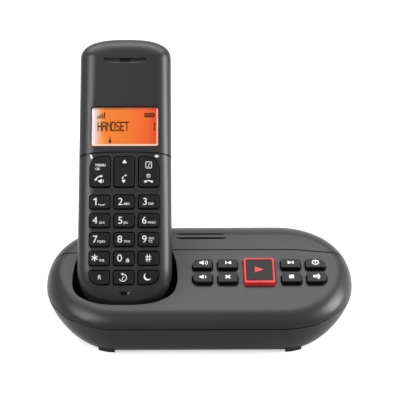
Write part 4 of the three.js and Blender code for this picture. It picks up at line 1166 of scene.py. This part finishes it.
plainMarks = {
    "recall_key": ([], [("R", 2.4, -0.75, -1.0, 0.95, -0.004)]),
    "redial_key": (moved(redialMark(), -0.45, -0.1), []),
    "mute_key": (moved(moonMark(1.95), -0.5, 0.4), []),
    "menu_call_rocker": (moved(receiverMark(), -0.95, -2.9, 1.0, 33)
                         + moved(speakerMark(1), 0.95, -4.95, 0.85),
                         [("MENU", 1.4, -2.45, 2.9), ("OK", 1.4, -2.45, 0.9, 0.85)]),
    "up_down_rocker": (moved(triangle(1.95, 0), 0.05, 5.5) + moved(receiverMark(0.4), -0.2, -2.5, 0.68, 40)
                       + moved(triangle(1.75, 180), -0.35, -5.2), []),
    "phonebook_end_rocker": (moved(bookMark(), -0.05, 3.55) + ringMark(-0.1, -2.2, 0.85, 0.28)
                             + [strip(-0.1, -2.2, -0.1, -1.6, 0.26)]
                             + moved(receiverMark(), -0.05, -4.9), []),
}
for node, (marks, texts) in plainMarks.items():
    _, _, middle, _, top = capOf(node, handsetPlace, handsetKeyShape)
    printed(node + "_print", handsetPlace, middle, top, marks, [words(*text) for text in texts],
            body=bodyOf[node])

baseMarks = {
    "volume_up_key": moved(speakerMark(2), 0.7, 0, 1.12), "previous_key": moved(skipMark(-1), 0.5, 0),
    "next_key": skipMark(1),
    "answer_on_off_key": [*ringMark(0, 0, 1.6, 0.5), strip(0, -0.8, 0, 0.8, 0.5)],
    "volume_down_key": moved(speakerMark(1), 0.6, 0, 1.08), "delete_key": crossMark(1.15, 0.7),
    "stop_key": [np.array([[-1.2, -1.3], [1.2, -1.3], [1.2, 1.3], [-1.2, 1.3]])],
    "find_handset_key": [disc(-1.0, 0.1, 0.95), *[bow(-1.0, 0, r, 0.4, -50, 50) for r in (1.7, 2.5)]],
}
for node, marks in baseMarks.items():
    _, _, middle, _, top = capOf(node, panelPlace, baseKeyShape)
    printed(node + "_print", panelPlace, middle + [0, 0.4], top, marks, body=bodyOf[node])
printed("play_print", panelPlace, playMiddle + [0, 0.5], playTop, [triangle(4.6, -90)[0] * [1, 0.82]], (),
        "redInk", "play_key")

# Small marks above the outer tall keys
printed("face_print", handsetPlace, (0, 81), -0.03,
        [*moved(triangle(1.6, 90), 16.2, 0.1), strip(16.8, 0.1, 17.9, 0.1, 0.45),
         *moved([disc(0, 0, 1.25)[:15] * [1, 0.75]], -17.6, -0.2, 1, -72)])

# What the display shows: letters of the dot grid, five dots wide and seven high, read from the top
dotGrid = dict(
    H=("10001", "10001", "10001", "11111", "10001", "10001", "10001"),
    A=("01110", "10001", "10001", "11111", "10001", "10001", "10001"),
    N=("10001", "11001", "10101", "10011", "10001", "10001", "10001"),
    D=("11110", "10001", "10001", "10001", "10001", "10001", "11110"),
    S=("01111", "10000", "10000", "01110", "00001", "00001", "11110"),
    E=("11111", "10000", "10000", "11110", "10000", "10000", "11111"),
    T=("11111", "00100", "00100", "00100", "00100", "00100", "00100"),
)
dots = dict(word="HANDSET", left=-14.0, top=2.2, pitch=2.36, across=0.43, down=0.72, width=0.52, height=0.8)


# Each dot of each letter as a short bar
def dotWord():
    marks = []
    for place, letter in enumerate(dots["word"]):
        for row, line in enumerate(dotGrid[letter]):
            y = dots["top"] - dots["down"] * row
            for column in (k for k in range(5) if line[k] == "1"):
                x = dots["left"] + dots["pitch"] * place + dots["across"] * column
                marks.append(strip(x - dots["width"] / 2, y, x + dots["width"] / 2, y, dots["height"]))
    return marks


signalMark = [strip(-14.2 + 1.15 * k, 4.3, -14.2 + 1.15 * k, 5.4 + 0.75 * k, 0.7) for k in range(4)]
batteryMark = [strip(10.4, 6 + s, 15, 6 + s, 0.5) for s in (-0.9, 0.9)]
batteryMark += [strip(10.55 + 1.1 * k, 5, 10.55 + 1.1 * k, 7, 0.75) for k in range(5)]
batteryMark.append(strip(15, 6, 15.8, 6, 1.1))
oneStrokes = [strip(15.6, 0, 15.6, 1.9, 0.75), strip(15.6, -2.3, 15.6, -0.5, 0.75)]
lowMark = [disc(-7.7, -8.0, 0.8), strip(-7.7, -8.0, -7.7, -5.8, 0.6)]
printed("display_marks", handsetPlace, (0, window["middle"]), -window["lens"] - glassPlate["drop"],
        dotWord() + signalMark + batteryMark + oneStrokes + lowMark, (), "displayInk")
print("legends ready")

# Finishes of the solids that stay as they are

keptFinishes = dict(
    loudspeaker="inner", line_jack="inner", power_jack="inner", base_key_mat="silicone",
    handset_key_mat="silicone", base_circuit_board="board", handset_circuit_board="board",
    earpiece_receiver="inner", microphone="inner", charge_pad_left="metal", charge_pad_right="metal",
    cradle_contact_left="metal", cradle_contact_right="metal", battery_cell_left="sleeve",
    battery_cell_right="sleeve", battery_terminal_left="metal", battery_terminal_right="metal",
    battery_bridge="metal",
)
for node, finish in keptFinishes.items():
    nodes[node].material_slots[0].material = finishes[finish]

# Floor, light and camera

# The floor's size and its drop below the feet in millimetres, its glow where it is seen, and how bright
# the room is where it only lights
floorSettings = dict(size=8000, drop=0.05, colour="#b8b8b8", lift=0.6)
ambient = 0.03


# 1 where a ray comes from the camera, from a glossy face or through the window, and 0 where it only lights
def seenAt(tree):
    path = addNode(tree, "ShaderNodeLightPath")
    direct = addNode(tree, "ShaderNodeMath", {"operation": "MAXIMUM"},
                     {0: path.outputs["Is Camera Ray"], 1: path.outputs["Is Glossy Ray"]})
    seen = addNode(tree, "ShaderNodeMath", {"operation": "MAXIMUM"},
                   {0: direct.outputs[0], 1: path.outputs["Is Transmission Ray"]})
    return seen.outputs[0]


# White sheet that takes the shadows, and glows a little where it is seen
def paleFloor():
    half = floorSettings["size"] / 2
    square = np.array([[x * half, y * half, -floorSettings["drop"]]
                       for x, y in ((-1, -1), (1, -1), (1, 1), (-1, 1))])
    floor = newPiece("floor", square, [[0, 1, 2, 3]], np.eye(4))
    material, tree = newMaterial("matt white sheet")
    lift = addNode(tree, "ShaderNodeMath", {"operation": "MULTIPLY", 1: floorSettings["lift"]},
                   {0: seenAt(tree)})
    surface = addNode(tree, "ShaderNodeBsdfPrincipled",
                      {"Base Color": colourOf(floorSettings["colour"]), "Roughness": 0.9,
                       "Specular IOR Level": 0.0, "Emission Color": (1, 1, 1, 1)},
                      {"Emission Strength": lift.outputs[0]})
    addNode(tree, "ShaderNodeOutputMaterial", None, {"Surface": surface.outputs["BSDF"]})
    floor.data.materials.append(material)


# White where the room is seen, and only a faint light from all round
def roomLight():
    world = bpy.data.worlds.new("pale room")
    bpy.context.scene.world = world
    world.use_nodes = True
    tree = world.node_tree
    tree.nodes.clear()
    level = addNode(tree, "ShaderNodeMapRange", {"To Min": ambient, "To Max": 1.0},
                    {"Value": seenAt(tree)})
    sky = addNode(tree, "ShaderNodeBackground", {"Color": (1, 1, 1, 1)},
                  {"Strength": level.outputs["Result"]})
    addNode(tree, "ShaderNodeOutputWorld", None, {"Surface": sky.outputs["Background"]})


# Lamps: places and sizes in metres, power in watts. All of them face one point above the base.
softboxes = {
    "rear_softbox": dict(place=(0, 0.3, 0.55), width=0.8, height=0.22, power=4.0),
    "left_softbox": dict(place=(-0.4, -0.2, 0.45), width=0.22, height=0.42, power=4.0),
    "right_softbox": dict(place=(0.565, 0, 0.265), width=0.22, height=0.42, power=6.8),
}
softboxTarget = (0, 0, 0.06)


# A rectangular lamp in its place, turned to face that point
def softbox(name, place, width, height, power):
    lamp = bpy.data.lights.new(name, "AREA")
    lamp.shape, lamp.size, lamp.size_y, lamp.energy = "RECTANGLE", width, height, power
    holder = addObject(name, lamp)
    holder.location = place
    away = np.array(place) - softboxTarget
    holder.rotation_euler = (
        math.atan2(math.hypot(away[0], away[1]), away[2]), 0, math.atan2(away[0], -away[1]),
    )


# The height angle and the turn are fitted to the photograph, and the distance is chosen. Lengths are in
# millimetres.
camera = dict(elevation=29.3, turn=-0.4, distance=700, lens=122.2, sensor=36, target=(0.3, -11.92, 64.8))


# The camera at its distance from the target, against the direction of view
def setCamera():
    e, a = math.radians(camera["elevation"]), math.radians(camera["turn"])
    view = np.array([-math.sin(a) * math.cos(e), math.cos(a) * math.cos(e), -math.sin(e)])
    eye = bpy.data.cameras.new("camera")
    eye.lens, eye.sensor_width = camera["lens"], camera["sensor"]
    holder = addObject("camera", eye)
    holder.location = (np.array(camera["target"]) - camera["distance"] * view) * mm
    holder.rotation_euler = (math.pi / 2 - e, 0, a)
    bpy.context.scene.camera = holder


paleFloor()
roomLight()
for name, settings in softboxes.items():
    softbox(name, **settings)
setCamera()
bpy.context.scene.view_settings.view_transform = "Standard"
print("stage ready")
